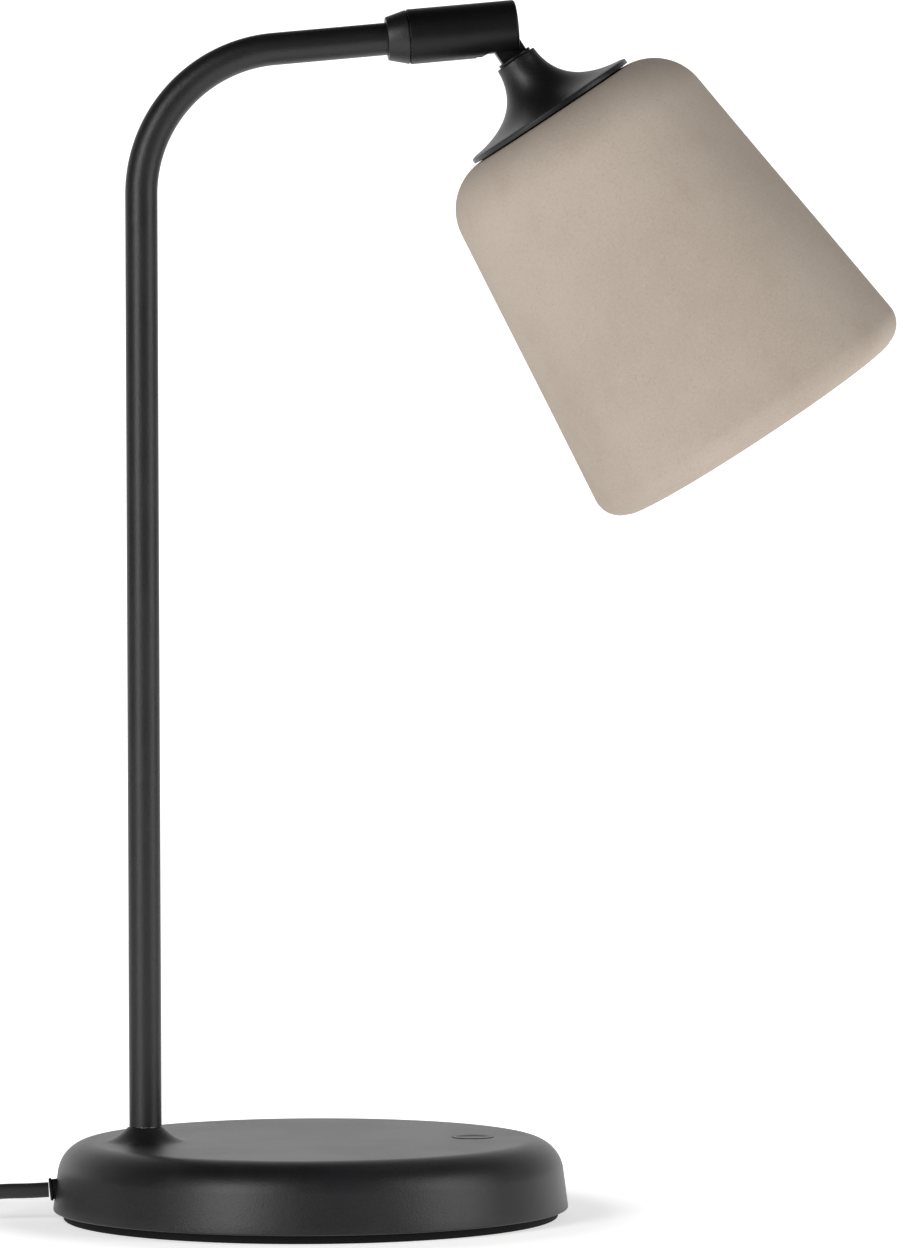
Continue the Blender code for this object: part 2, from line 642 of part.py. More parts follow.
def make_cord_entry():
    flange = GROMMET_STANDOFF + GROMMET_FLANGE_THICKNESS
    bore = CORD_RADIUS + GAP
    back = -grommet_depth()
    profile = [
        (GROMMET_FLANGE_RADIUS - 0.0003, flange),
        (GROMMET_FLANGE_RADIUS, flange - 0.0003),
        (GROMMET_FLANGE_RADIUS, GROMMET_STANDOFF),
        (GROMMET_NECK_RADIUS, GROMMET_STANDOFF),
        (GROMMET_NECK_RADIUS, back),
        (GROMMET_BACK_RADIUS, back),
        (GROMMET_BACK_RADIUS, back - GROMMET_BACK),
        (bore, back - GROMMET_BACK),
        (bore, flange),
    ]
    lean = -(pi / 2 + CORD_DROOP)
    turned("cord_grommet", profile, "rubber", 24, at=grommet_origin(), turn=(0, lean, 0))

    x, y = CLAMP_LENGTH, CLAMP_WIDTH
    top = BALLAST_BOTTOM - GAP
    low = (POLE_X - x / 2, CLAMP_Y - y / 2, top - CLAMP_HEIGHT)
    clamp = box("cord_clamp", low, (POLE_X + x / 2, CLAMP_Y + y / 2, top), "white_plastic")
    ends = [(POLE_X - x, CLAMP_Y, clamp_cord_height()), (POLE_X + x, CLAMP_Y, clamp_cord_height())]
    cut(clamp, rod("clamp_cord_cut", ends[0], ends[1], CORD_RADIUS + GAP, None, 16))
    for i, screw_y in enumerate(clamp_screw_places(), 1):
        foot = top - CLAMP_HEIGHT - GAP
        hole = [(POLE_X, screw_y, foot - 0.001), (POLE_X, screw_y, top + 0.001)]
        cut(clamp, rod(f"clamp_screw_cut_{i}", hole[0], hole[1], CLAMP_SCREW_RADIUS + GAP, None, 8))
        profile = [
            (0, BALLAST_BOTTOM + CLAMP_SCREW_BITE),
            (CLAMP_SCREW_RADIUS, BALLAST_BOTTOM + CLAMP_SCREW_BITE),
            (CLAMP_SCREW_RADIUS, foot),
            (CLAMP_SCREW_HEAD_RADIUS, foot),
            (CLAMP_SCREW_HEAD_RADIUS, foot - CLAMP_SCREW_HEAD_HEIGHT),
            (0, foot - CLAMP_SCREW_HEAD_HEIGHT),
        ]
        turned(f"clamp_screw_{i}", profile, "zinc_steel", 10, at=(POLE_X, screw_y, 0))

    terminal_face = TERMINAL_X - TERMINAL_SIZE[0] / 2 - GAP
    height = clamp_cord_height()
    tail_height = FLOOR_LEVEL + CORD_RADIUS + 0.0012
    inside = [
        grommet_point(GROMMET_STANDOFF),
        grommet_point(-grommet_depth() - 0.002),
        (POLE_X - 0.0213, 0.0045, height + 0.0002),
        (POLE_X - 0.0163, 0.0120, height),
        (POLE_X - 0.0098, 0.0178, height),
        (POLE_X - 0.0040, CLAMP_Y, height),
        (POLE_X + 0.0040, CLAMP_Y, height),
        (POLE_X + 0.0097, 0.0172, height - 0.0012),
        (POLE_X + 0.0142, 0.0110, tail_height + 0.0008),
        (terminal_face - 0.0040, 0.0046, tail_height),
        (terminal_face, 0.0045, tail_height),
    ]
    wire("cord_tail", smooth_route(inside, 0.004), CORD_RADIUS, "cord_black")


def clamp_cord_height():
    return BALLAST_BOTTOM - GAP - CLAMP_HEIGHT / 2


def make_electrics():
    x, y, height = TERMINAL_SIZE
    low = (TERMINAL_X - x / 2, -y / 2, FLOOR_LEVEL)
    block = box("terminal_block", low, (TERMINAL_X + x / 2, y / 2, FLOOR_LEVEL + height), "white_plastic")
    for i in (-1, 0, 1):
        bottom = (TERMINAL_X, i * TERMINAL_PITCH, FLOOR_LEVEL + 0.004)
        top = (TERMINAL_X, i * TERMINAL_PITCH, FLOOR_LEVEL + height + 0.001)
        cut(block, rod(f"terminal_cut_{i + 2}", bottom, top, TERMINAL_BORE_RADIUS, None, 8))

    inset = TRAY_WALL + GAP
    low = (BOARD_LOW[0] - inset, BOARD_LOW[1] - inset)
    high = (BOARD_HIGH[0] + inset, BOARD_HIGH[1] + inset)
    tray = box("dimmer_tray", (*low, FLOOR_LEVEL), (*high, FLOOR_LEVEL + TRAY_HEIGHT), "black_plastic")
    over = FLOOR_LEVEL + TRAY_HEIGHT + 0.001
    seat = BOARD_BOTTOM - GAP
    pocket_low = (BOARD_LOW[0] - GAP, BOARD_LOW[1] - GAP, seat)
    cut(tray, box("tray_pocket_cut", pocket_low, (BOARD_HIGH[0] + GAP, BOARD_HIGH[1] + GAP, over), None))
    well_low = (BOARD_LOW[0] + TRAY_LEDGE, BOARD_LOW[1] + TRAY_LEDGE, FLOOR_LEVEL + TRAY_FLOOR)
    well_high = (BOARD_HIGH[0] - TRAY_LEDGE, BOARD_HIGH[1] - TRAY_LEDGE, over)
    cut(tray, box("tray_well_cut", well_low, well_high, None))
    box("dimmer_board", (*BOARD_LOW, BOARD_BOTTOM), (*BOARD_HIGH, BOARD_TOP), "circuit_board")

    x, y, height = MODULE_SIZE
    low = (MODULE_X - x / 2, -y / 2, BOARD_TOP + GAP)
    module = box("dimmer_module", low, (MODULE_X + x / 2, y / 2, BOARD_TOP + GAP + height), "black_plastic")
    soften = module.modifiers.new("Soft edges", "BEVEL")
    soften.width = 0.0006
    soften.segments = 1

    half = SWITCH_SIDE / 2
    foot = BOARD_TOP + GAP
    low = (BUTTON_X - half, -half, foot)
    switch = box("tact_switch", low, (BUTTON_X + half, half, foot + SWITCH_HEIGHT), "black_plastic")
    plunger = [(BUTTON_X, 0, foot + SWITCH_HEIGHT - 0.001), (BUTTON_X, 0, SWITCH_TOP)]
    join(switch, rod("plunger_core", plunger[0], plunger[1], PLUNGER_RADIUS, None, 12))

    terminal_end = TERMINAL_X + TERMINAL_SIZE[0] / 2 + GAP
    module_end = MODULE_X - MODULE_SIZE[0] / 2 - GAP
    clear = FLOOR_LEVEL + TRAY_HEIGHT + GAP + CONTROL_LEAD_RADIUS
    middle = (terminal_end + module_end) / 2
    route = [(terminal_end, 0, clear), (middle, 0, clear), (module_end, 0, clear)]
    wire("control_lead", smooth_route(route, 0.005), CONTROL_LEAD_RADIUS, "cord_black")


def make_button():
    at = (BUTTON_X, 0, 0)
    lip_top = BALLAST_BOTTOM - GAP
    floor_bottom = lip_top - GUIDE_FLOOR + GAP
    floor_top = floor_bottom + GUIDE_FLOOR
    stem_hole = BUTTON_STEM_RADIUS + LEAD_GAP
    outer = GUIDE_RADIUS + GUIDE_WALL
    guide = [
        (outer, BALLAST_TOP),
        (outer, lip_top),
        (outer + GUIDE_LIP, lip_top),
        (outer + GUIDE_LIP, floor_bottom),
        (stem_hole, floor_bottom),
        (stem_hole, floor_top),
        (GUIDE_RADIUS, floor_top),
        (GUIDE_RADIUS, BALLAST_TOP),
    ]
    turned("button_guide", guide, "black_plastic", 24, at=at)

    flange_top = CEILING - GAP
    flange_bottom = flange_top - BUTTON_FLANGE
    stem_end = SWITCH_TOP + GAP + BUTTON_TRAVEL
    top = SHELL_TOP - 0.0001
    cap = [
        (0, top - 0.0002),
        (BUTTON_RADIUS * 0.7, top - 0.0001),
        (BUTTON_RADIUS - 0.0005, top),
        (BUTTON_RADIUS, top - 0.0004),
        (BUTTON_RADIUS, flange_top),
        (BUTTON_RADIUS + BUTTON_FLANGE, flange_top),
        (BUTTON_RADIUS + BUTTON_FLANGE, flange_bottom),
        (BUTTON_STEM_RADIUS, flange_bottom),
        (BUTTON_STEM_RADIUS, stem_end),
        (0, stem_end),
    ]
    axis = add_axis("button_axis", (BUTTON_X, 0, 0), 0)
    turned("button_cap", cap, "black_paint", 28, axis)

    low = floor_top + GAP + SPRING_WIRE_RADIUS
    rise = flange_bottom - GAP - SPRING_WIRE_RADIUS - low
    steps = SPRING_TURNS * 8
    helix = []
    for i in range(steps + 1):
        turn = 2 * pi * SPRING_TURNS * i / steps
        helix.append((SPRING_RADIUS * cos(turn), SPRING_RADIUS * sin(turn), low + rise * i / steps))
    wire("button_spring", helix, SPRING_WIRE_RADIUS, "zinc_steel", axis, 0)


def pole_line(start, end_along, bend_steps):
    """The pole's centre line from a height to a station along the arm, counted from the seam."""
    points = [Vector((POLE_X, 0, start)), Vector((POLE_X, 0, BEND_START))]
    for i in range(1, bend_steps + 1):
        turn = BEND_TURN * i / bend_steps
        x = POLE_X + BEND_RADIUS * (1 - cos(turn))
        points.append(Vector((x, 0, BEND_START + BEND_RADIUS * sin(turn))))
    return [*points, SEAM + ARM * end_along]


def make_pole():
    tube = wire("pole_tube", pole_line(POLE_FOOT, TUBE_END, 14), POLE_RADIUS, "black_paint", None, 4, False)
    wall = tube.modifiers.new("Wall", "SOLIDIFY")
    wall.thickness = POLE_WALL
    wall.offset = -1

    nipple = ring(NIPPLE_RADIUS - NIPPLE_WALL, NIPPLE_RADIUS, NIPPLE_BOTTOM, POLE_FOOT + NIPPLE_GRIP)
    turned("pole_nipple", nipple, "zinc_steel", 16, at=(POLE_X, 0, 0))
    washer = ring(NIPPLE_HOLE, POLE_WASHER_RADIUS, WASHER_BOTTOM, WASHER_BOTTOM + POLE_WASHER_THICKNESS)
    turned("pole_washer", washer, "zinc_steel", 20, at=(POLE_X, 0, 0))
    corner = POLE_NUT_FLATS / sqrt(3)
    loops = [polygon(corner, 6, (POLE_X, 0), pi / 6), polygon(NIPPLE_HOLE, 16, (POLE_X, 0))]
    plate("pole_nut", loops, POLE_NUT_BOTTOM, POLE_NUT_BOTTOM + POLE_NUT_THICKNESS, "zinc_steel")

    low = FLOOR_LEVEL + POLE_LEAD_RADIUS
    terminal_face = TERMINAL_X - TERMINAL_SIZE[0] / 2 - GAP
    foot = [
        (terminal_face, -0.0045, low + 0.0006),
        (terminal_face - 0.004, -0.0044, low + 0.0004),
        (POLE_X + 0.007, -0.0006, low + 0.0001),
        (POLE_X + 0.0011, 0, low + 0.0012),
        (POLE_X, 0, NIPPLE_BOTTOM - 0.0002),
        (POLE_X, 0, NIPPLE_BOTTOM + 0.008),
    ]
    hub_back = -SWIVEL_NECK_LENGTH - 0.002
    line = [*smooth_route(foot, 0.003), *pole_line(POLE_FOOT, hub_back, 12)]
    wire("pole_lead", line, POLE_LEAD_RADIUS, "cord_black")


def make_arm_end(arm):
    """The fixed half of the swivel: a bush inside the tube, the conical collar and its stop pin."""
    web = COLLAR_FACE - COLLAR_WEB
    collar = [
        (COLLAR_LARGE_RADIUS - 0.0003, COLLAR_FACE),
        (COLLAR_LARGE_RADIUS, COLLAR_FACE - 0.0003),
        (COLLAR_SMALL_RADIUS, COLLAR_FACE - COLLAR_LENGTH),
        (POLE_RADIUS + GAP, COLLAR_FACE - COLLAR_LENGTH),
        (POLE_RADIUS + GAP, web),
        (BORE_RADIUS, web),
        (BORE_RADIUS, COLLAR_FACE),
    ]
    collar_piece = turned("arm_collar", collar, "black_paint", 32, arm)
    pin_back = COLLAR_FACE - COLLAR_WEB + 0.0008
    pin = [(-STOP_PIN_REACH, 0, pin_back), (-STOP_PIN_REACH, 0, STOP_PIN_OUT)]
    deep = (-STOP_PIN_REACH, 0, pin_back - GAP)
    cut(collar_piece, rod("stop_pin_cut", deep, (-STOP_PIN_REACH, 0, 0.002), STOP_PIN_RADIUS + GAP, None, 12, arm))
    rod("stop_pin", pin[0], pin[1], STOP_PIN_RADIUS, "zinc_steel", 10, arm)
    bush = ring(BORE_RADIUS, NIPPLE_RADIUS, TUBE_END - ARM_BUSH_LENGTH, TUBE_END)
    turned("arm_bush", bush, "brass", 16, arm)


def make_swivel(arm):
    """The turning half of the swivel: hub, nut, washer, slotted housing and the tilt screw."""
    bore = HOUSING_LEAD_RADIUS + LEAD_GAP
    hub = [
        (SWIVEL_FLANGE_RADIUS, HUB_END),
        (SWIVEL_FLANGE_RADIUS, HUB_FACE),
        (SWIVEL_NECK_RADIUS, HUB_FACE),
        (SWIVEL_NECK_RADIUS, -SWIVEL_NECK_LENGTH),
        (bore, -SWIVEL_NECK_LENGTH),
        (bore, HUB_END),
    ]
    turned("swivel_hub", hub, "brass", 20, arm)
    nut_end = TUBE_END - ARM_BUSH_LENGTH - GAP
    nut = ring(BORE_RADIUS, NIPPLE_RADIUS, nut_end - SWIVEL_NUT_THICKNESS, nut_end)
    turned("swivel_nut", nut, "zinc_steel", 16, arm)
    washer = ring(BORE_RADIUS, SWIVEL_FLANGE_RADIUS, HOUSING_REAR, HOUSING_REAR + FRICTION_WASHER_THICKNESS)
    turned("friction_washer", washer, "white_plastic", 20, arm)

    seat = SWIVEL_FLANGE_RADIUS + GAP
    recess = HOUSING_RADIUS - HOUSING_REAR_WALL
    edge = arc((HOUSING_RADIUS - HOUSING_EDGE, HOUSING_LENGTH - HOUSING_EDGE), HOUSING_EDGE, pi / 2, 0, 3)
    profile = [
        (0, HOUSING_LENGTH),
        *edge,
        (HOUSING_RADIUS, HOUSING_REAR + 0.0003),
        (HOUSING_RADIUS - 0.0003, HOUSING_REAR),
        (recess, HOUSING_REAR),
        (recess, HOUSING_REAR + STOP_RECESS_DEPTH),
        (seat, HOUSING_REAR + STOP_RECESS_DEPTH),
        (seat, HUB_END + GAP),
        (bore, HUB_END + GAP),
        (bore, SLOT_START + 0.001),
        (0, SLOT_START + 0.001),
    ]
    housing = turned("joint_housing", profile, "joint_black", 32, arm)
    lug_low = (seat, -STOP_LUG_WIDTH / 2, HOUSING_REAR + GAP)
    lug_high = (recess + 0.0005, STOP_LUG_WIDTH / 2, HOUSING_REAR + STOP_RECESS_DEPTH + 0.0005)
    join(housing, box("stop_lug_core", lug_low, lug_high, None, arm))
    over = 0.001  # how far the ramp's cutter starts outside the side
    beyond = HOUSING_RADIUS + 2 * over
    end = HOUSING_LENGTH + 0.002
    slot_low = (-(HOUSING_RADIUS - SLOT_BRIDGE), -SLOT_HALF, SLOT_START)
    cut(housing, box("slot_cut", slot_low, (beyond, SLOT_HALF, end), None, arm))
    depth = HOUSING_RADIUS - FLAT_DEPTH
    ramp_start = FLAT_START - over * FLAT_RAMP / FLAT_DEPTH
    flat = [
        (HOUSING_RADIUS + over, ramp_start),
        (depth, FLAT_START + FLAT_RAMP),
        (depth, end),
        (beyond, end),
        (beyond, ramp_start),
    ]
    cut(housing, plate("flat_cut", [flat], -beyond, beyond, None, arm, upright=True))

    seat_y = HOUSING_RADIUS - TILT_HEAD_SUNK - TILT_HEAD_THICKNESS - TILT_WASHER_THICKNESS - 2 * GAP
    pin_end = -(HOUSING_RADIUS - TILT_BLIND_WALL - GAP)
    blind = (0, pin_end - GAP, PIVOT_ALONG)
    outside = (0, HOUSING_RADIUS + 0.002, PIVOT_ALONG)
    cut(housing, rod("tilt_bore_cut", blind, outside, TILT_PIN_RADIUS + GAP, None, 16, arm))
    sink = (0, seat_y, PIVOT_ALONG)
    cut(housing, rod("tilt_sink_cut", sink, outside, TILT_HEAD_RADIUS + GAP, None, 20, arm))

    washer_low = seat_y + GAP
    head_low = washer_low + TILT_WASHER_THICKNESS + GAP
    head_high = head_low + TILT_HEAD_THICKNESS
    about_y = (-pi / 2, 0, 0)
    at = (0, 0, PIVOT_ALONG)
    ring_profile = ring(TILT_PIN_RADIUS + GAP, TILT_HEAD_RADIUS, washer_low, washer_low + TILT_WASHER_THICKNESS)
    turned("tilt_spring_washer", ring_profile, "zinc_steel", 16, arm, at, about_y)
    screw = [
        (0, head_high),
        (TILT_HEAD_RADIUS - 0.0003, head_high),
        (TILT_HEAD_RADIUS, head_high - 0.0003),
        (TILT_HEAD_RADIUS, head_low),
        (TILT_PIN_RADIUS, head_low),
        (TILT_PIN_RADIUS, pin_end),
        (0, pin_end),
    ]
    tilt_screw = turned("tilt_screw", screw, "zinc_steel", 16, arm, at, about_y)
    socket = [(0, head_high - TILT_SOCKET_DEPTH, PIVOT_ALONG), (0, head_high + 0.001, PIVOT_ALONG)]
    cut(tilt_screw, rod("tilt_socket_cut", socket[0], socket[1], TILT_SOCKET_RADIUS, None, 6, arm))

    lead = [(0, 0, -SWIVEL_NECK_LENGTH + 0.001), (0, 0, HUB_END), (0, 0, SLOT_START - GAP)]
    wire("housing_lead", lead, HOUSING_LEAD_RADIUS, "cord_black", arm)


def make_tongue(head):
    half = TONGUE_WIDTH / 2
    disc_top = -(NECK_TOP - GAP - DISC_THICKNESS)
    disc_bottom = disc_top - DISC_THICKNESS
    stub_end = SHADE_TOP + HOLDER_CAP_HEIGHT - HOLDER_GRIP + GAP
    crown = arc((0, 0), half, 0, pi, 12)
    outline = [*crown, (-half, disc_top - 0.0004), (half, disc_top - 0.0004)]
    tongue = plate(
        "tilt_tongue", [outline], -TONGUE_THICKNESS / 2, TONGUE_THICKNESS / 2, "joint_black", head, upright=True
    )
    foot = [(0, disc_top), (DISC_RADIUS, disc_top), (DISC_RADIUS, disc_bottom), (STUB_RADIUS, disc_bottom)]
    foot += [(STUB_RADIUS, stub_end), (0, stub_end)]
    join(tongue, turned("tongue_foot_core", foot, None, 24, head))
    reach = TONGUE_THICKNESS
    hole = TILT_PIN_RADIUS + GAP
    cut(tongue, rod("tongue_pin_cut", (0, -reach, 0), (0, reach, 0), hole, None, 16, head))
    bore = HEAD_LEAD_RADIUS + LEAD_GAP
    turn_off = -(half + TILT_PIN_RADIUS + 0.002)
    cut(tongue, rod("tongue_lead_cut", (0, 0, stub_end - 0.001), (0, 0, turn_off), bore, None, 10, head))
    side = (-half - 0.002, 0, turn_off + half)
    cut(tongue, rod("tongue_side_cut", (0.0004, 0, turn_off - 0.0003), side, bore, None, 10, head))

    cap_floor = -(NECK_TOP + NECK_SOLID_LENGTH)
    nut_top = cap_floor - GAP
    corner = NECK_NUT_FLATS / sqrt(3)
    loops = [polygon(corner, 6), polygon(STUB_RADIUS + GAP, 16)]
    plate("neck_nut", loops, nut_top - NECK_NUT_THICKNESS, nut_top, "zinc_steel", head)
    holder_hollow = SHADE_TOP + 0.001
    lead = [(0, 0, turn_off - 0.001), (0, 0, stub_end), (0, 0, holder_hollow)]
    wire("head_lead", lead, HEAD_LEAD_RADIUS, "cord_black", head)


def cap_outline(steps):
    """The trumpet's outer side in (radius, height over the shade), from its top to the flange."""
    top = (CAP_TOP_RADIUS, CAP_HEIGHT)
    edge = (CAP_FLANGE_RADIUS - 0.0006, CAP_GAP + CAP_BAND + 0.0004)
    high_pull = (CAP_TOP_RADIUS + 0.0006, CAP_HEIGHT * 0.465)
    low_pull = (CAP_FLANGE_RADIUS * 0.505, CAP_HEIGHT * 0.172)
    return bezier(top, high_pull, low_pull, edge, steps)


def make_cap(head):
    outer = cap_outline(11)
    hollow_top = CAP_HEIGHT - NECK_SOLID_LENGTH
    inner = [p for p in offset(outer, CAP_WALL) if p[1] < hollow_top - 0.0008 and p[1] > CAP_GAP + 0.0003]
    bore = STUB_RADIUS + GAP
    profile = [
        *outer,
        (CAP_FLANGE_RADIUS, CAP_GAP + CAP_BAND),
        (CAP_FLANGE_RADIUS, CAP_GAP),
        (inner[-1][0] + 0.001, CAP_GAP),
        *reversed(inner),
        (inner[0][0] - 0.0004, hollow_top),
        (bore, hollow_top),
        (bore, CAP_HEIGHT),
    ]
    turned("shade_cap", profile, "black_paint", 30, head, (0, 0, SHADE_TOP))
    gasket = ring(GASKET_INNER_RADIUS, GASKET_RADIUS, GAP, CAP_GAP - GAP)
    turned("shade_gasket", gasket, "rubber", 32, head, (0, 0, SHADE_TOP))


def shade_outer():
    """The shade's outer side from the middle of its top to the bottom of its rim."""
    shoulder = arc((SHADE_FLAT_RADIUS, -SHADE_SHOULDER), SHADE_SHOULDER, pi / 2, SHADE_TAPER, 7)
    r, z = shoulder[-1]
    rim_z = -SHADE_HEIGHT + SHADE_RIM
    # The rim's arc touches both the side and the bottom, so its middle lies one rim radius inside the side.
    rim_r = r + (z - rim_z) * tan(SHADE_TAPER) - SHADE_RIM / cos(SHADE_TAPER)
    rim = arc((rim_r, rim_z), SHADE_RIM, SHADE_TAPER, -pi / 2, 6)
    return shoulder, rim


def make_shade(head):
    shoulder, rim = shade_outer()
    shift = SHADE_WALL / cos(SHADE_TAPER)
    side_top = shoulder[-1]
    inner_fillet = SHADE_SHOULDER - SHADE_WALL
    ceiling = -SHADE_TOP_WALL
    inner_low = (side_top[0] + (side_top[1] + SHADE_HEIGHT) * tan(SHADE_TAPER) - shift, -SHADE_HEIGHT)
    inner_r = side_top[0] + (side_top[1] - ceiling) * tan(SHADE_TAPER) - shift
    reach = inner_fillet * (1 - sin(SHADE_TAPER)) / cos(SHADE_TAPER)
    middle = (inner_r - reach, ceiling - inner_fillet)
    inner = arc(middle, inner_fillet, SHADE_TAPER, pi / 2, 4)
    bottom = [(rim[-1][0], -SHADE_HEIGHT), (inner_low[0] + 0.001, -SHADE_HEIGHT), (inner_low[0], 0.001 - SHADE_HEIGHT)]
    profile = [(SHADE_HOLE_RADIUS, 0), *shoulder, *rim[:-1], *bottom, *inner, (SHADE_HOLE_RADIUS, ceiling)]
    turned("shade", profile, "concrete", 36, head, (0, 0, SHADE_TOP))


def make_lampholder(head):
    at = (0, 0, SHADE_TOP)
    stub = STUB_RADIUS + GAP
    top = HOLDER_CAP_HEIGHT
    foot = -0.0006
    wall = 0.0016
    cap = [
        (stub + 0.0022, top),
        (stub + 0.0040, top - 0.0012),
        (HOLDER_RADIUS - 0.0028, top * 0.49),
        (HOLDER_RADIUS, top * 0.25),
        (HOLDER_RADIUS, foot),
        (HOLDER_RADIUS - wall, foot),
        (HOLDER_RADIUS - wall, top * 0.20),
        (HOLDER_RADIUS - 0.0036, top * 0.35),
        (stub + 0.0034, top - HOLDER_GRIP),
        (stub, top - HOLDER_GRIP),
        (stub, top),
    ]
    turned("lampholder_cap", cap, "black_plastic", 24, head, at)

    high = foot - GAP
    bore = BULB_CAP_RADIUS + GAP
    floor = high - HOLDER_WALL
    body = [
        (0, high),
        (HOLDER_RADIUS, high),
        (HOLDER_RADIUS, high - HOLDER_LENGTH),
        (bore, high - HOLDER_LENGTH),
        (bore, floor),
        (0, floor),
    ]
    turned("lampholder_body", body, "black_plastic", 24, head, at)
    contact = disc(CONTACT_RADIUS, floor - GAP - CONTACT_HEIGHT, floor - GAP)
    turned("lampholder_contact", contact, "brass", 10, head, at)
    ring_high = -SHADE_TOP_WALL - GAP
    ring_low = ring_high - SHADE_RING_THICKNESS
    clamp_ring = [
        (SHADE_RING_RADIUS, ring_high),
        (SHADE_RING_RADIUS, ring_high - 0.0016),
        (SHADE_RING_RADIUS - 0.003, ring_low),
        (HOLDER_RADIUS + GAP, ring_low),
        (HOLDER_RADIUS + GAP, ring_high),
    ]
    turned("shade_ring", clamp_ring, "black_plastic", 28, head, at)

    cap_high = floor - 2 * GAP - CONTACT_HEIGHT
    cap_low = high - HOLDER_LENGTH
    screw_cap = [(0, cap_high), (0.0025, cap_high), (0.0060, cap_high - 0.0035), (BULB_CAP_RADIUS, cap_high - 0.005)]
    screw_cap += [(BULB_CAP_RADIUS, cap_low), (0, cap_low)]
    turned("bulb_cap", screw_cap, "zinc_steel", 20, head, at)
    body_high = cap_low - GAP
    body_low = body_high - BULB_BODY_LENGTH
    bulb_body = [
        (0, body_high),
        (BULB_CAP_RADIUS + 0.001, body_high),
        (0.0125, body_high - 0.008),
        (BULB_RADIUS - 0.003, body_low + 0.006),
        (BULB_RADIUS - 0.001, body_low),
        (0, body_low),
    ]
    turned("bulb_body", bulb_body, "white_plastic", 24, head, at)
    globe_top = body_low - GAP
    outer = arc((0, globe_top), BULB_RADIUS, 0, -pi / 2, 6)
    inner = arc((0, globe_top), BULB_RADIUS - BULB_WALL, -pi / 2, 0, 6)
    middle = globe_top - BULB_RADIUS
    globe = [(0, middle + BULB_WALL), *inner[1:], *outer[:-1], (0, middle)]
    turned("bulb_globe", globe, "opal", 20, head, at)


def make_free_cord():
    wire("power_cord", smooth_route(CORD_ROUTE, 0.009), CORD_RADIUS, "cord_black")
    wire("plug_cord", smooth_route(PLUG_ROUTE, 0.009), CORD_RADIUS, "cord_black")
    at = (COIL_X, COIL_Y, 0)
    rounding = CORD_RADIUS
    coil = [
        (COIL_OUTER - rounding, COIL_TOP),
        (COIL_OUTER, COIL_TOP - rounding),
        (COIL_OUTER, COIL_BOTTOM + rounding),
        (COIL_OUTER - rounding, COIL_BOTTOM),
        (COIL_INNER + rounding, COIL_BOTTOM),
        (COIL_INNER, COIL_BOTTOM + rounding),
        (COIL_INNER, COIL_TOP - rounding),
        (COIL_INNER + rounding, COIL_TOP),
    ]
    turned("cord_coil", coil, "cord_black", COIL_SIDES, at=at)

    facet = cos(pi / COIL_SIDES)  # a flat side's middle lies this share of the radius out
    low = COIL_X + sqrt((COIL_INNER * facet) ** 2 - (TIE_WIDTH / 2) ** 2) - GAP
    high = COIL_X + COIL_OUTER + GAP
    bottom, top = COIL_BOTTOM - GAP, COIL_TOP + GAP
    inner = [(low, bottom), (high, bottom), (high, top), (low, top)]
    wall = TIE_WALL
    outer = [(low - wall, bottom - wall), (high + wall, bottom - wall), (high + wall, top + wall), (low - wall, top + wall)]
    tie = plate("cord_tie", [outer, inner], -TIE_WIDTH / 2, TIE_WIDTH / 2, "black_plastic", None, upright=True)
    tie.location = (0, COIL_Y, 0)


def make_plug():
    x, y, z = PLUG_AT
    relief = rod(
        "plug_relief_core",
        (x, y, z),
        (x + PLUG_RELIEF_LENGTH + 0.001, y, z),
        PLUG_RELIEF_RADII[0],
        None,
        16,
        None,
        PLUG_RELIEF_RADII[1],
    )
    back = x + PLUG_RELIEF_LENGTH
    front = back + PLUG_LENGTH
    half, tail = PLUG_WIDTH / 2, PLUG_TAIL_WIDTH / 2
    outline = [
        (back, y - tail),
        (back + PLUG_LENGTH * 0.55, y - half),
        (front, y - half),
        (front, y + half),
        (back + PLUG_LENGTH * 0.55, y + half),
        (back, y + tail),
    ]
    body = plate("plug_body", [outline], z - PLUG_THICKNESS / 2, z + PLUG_THICKNESS / 2, "black_plastic")
    soften = body.modifiers.new("Soft edges", "BEVEL")
    soften.width = PLUG_BEVEL
    soften.segments = 2
    soften.limit_method = "ANGLE"
    join(body, relief)
    for i, side in enumerate((-1, 1), 1):
        pin_y = y + side * PIN_PITCH / 2
        seat = [(front - PIN_SEAT - GAP, pin_y, z), (front + 0.002, pin_y, z)]
        cut(body, rod(f"pin_seat_cut_{i}", seat[0], seat[1], PIN_RADIUS + GAP, None, 12))
        start = front - PIN_SEAT
        pin = [
            (0, start + PIN_SEAT + PIN_LENGTH),
            (PIN_RADIUS * 0.6, start + PIN_SEAT + PIN_LENGTH),
            (PIN_RADIUS, start + PIN_SEAT + PIN_LENGTH - 0.0014),
            (PIN_RADIUS, start),
            (0, start),
        ]
        turned(f"plug_pin_{i}", pin, "brass", 12, at=(0, pin_y, z), turn=(0, pi / 2, 0))


clear_scene()
lamp = new_collection("table_lamp")
cutters = new_collection("cutters", hidden=True)
materials = {name: new_material(name) for name in FINISHES}

make_base()
make_cover()
make_ballast()
make_cord_entry()
make_electrics()
make_button()
make_pole()
arm_axis = add_axis("arm_axis", SEAM, BEND_TURN)
make_arm_end(arm_axis)
swivel_axis = add_axis("swivel_axis", (0, 0, 0), 0, arm_axis)
make_swivel(swivel_axis)
tilt_axis = add_axis("tilt_axis", (0, 0, PIVOT_ALONG), -BEND_TURN - HEAD_LEAN, swivel_axis)
make_tongue(tilt_axis)
make_cap(tilt_axis)
make_shade(tilt_axis)
make_lampholder(tilt_axis)
make_free_cord()
make_plug()
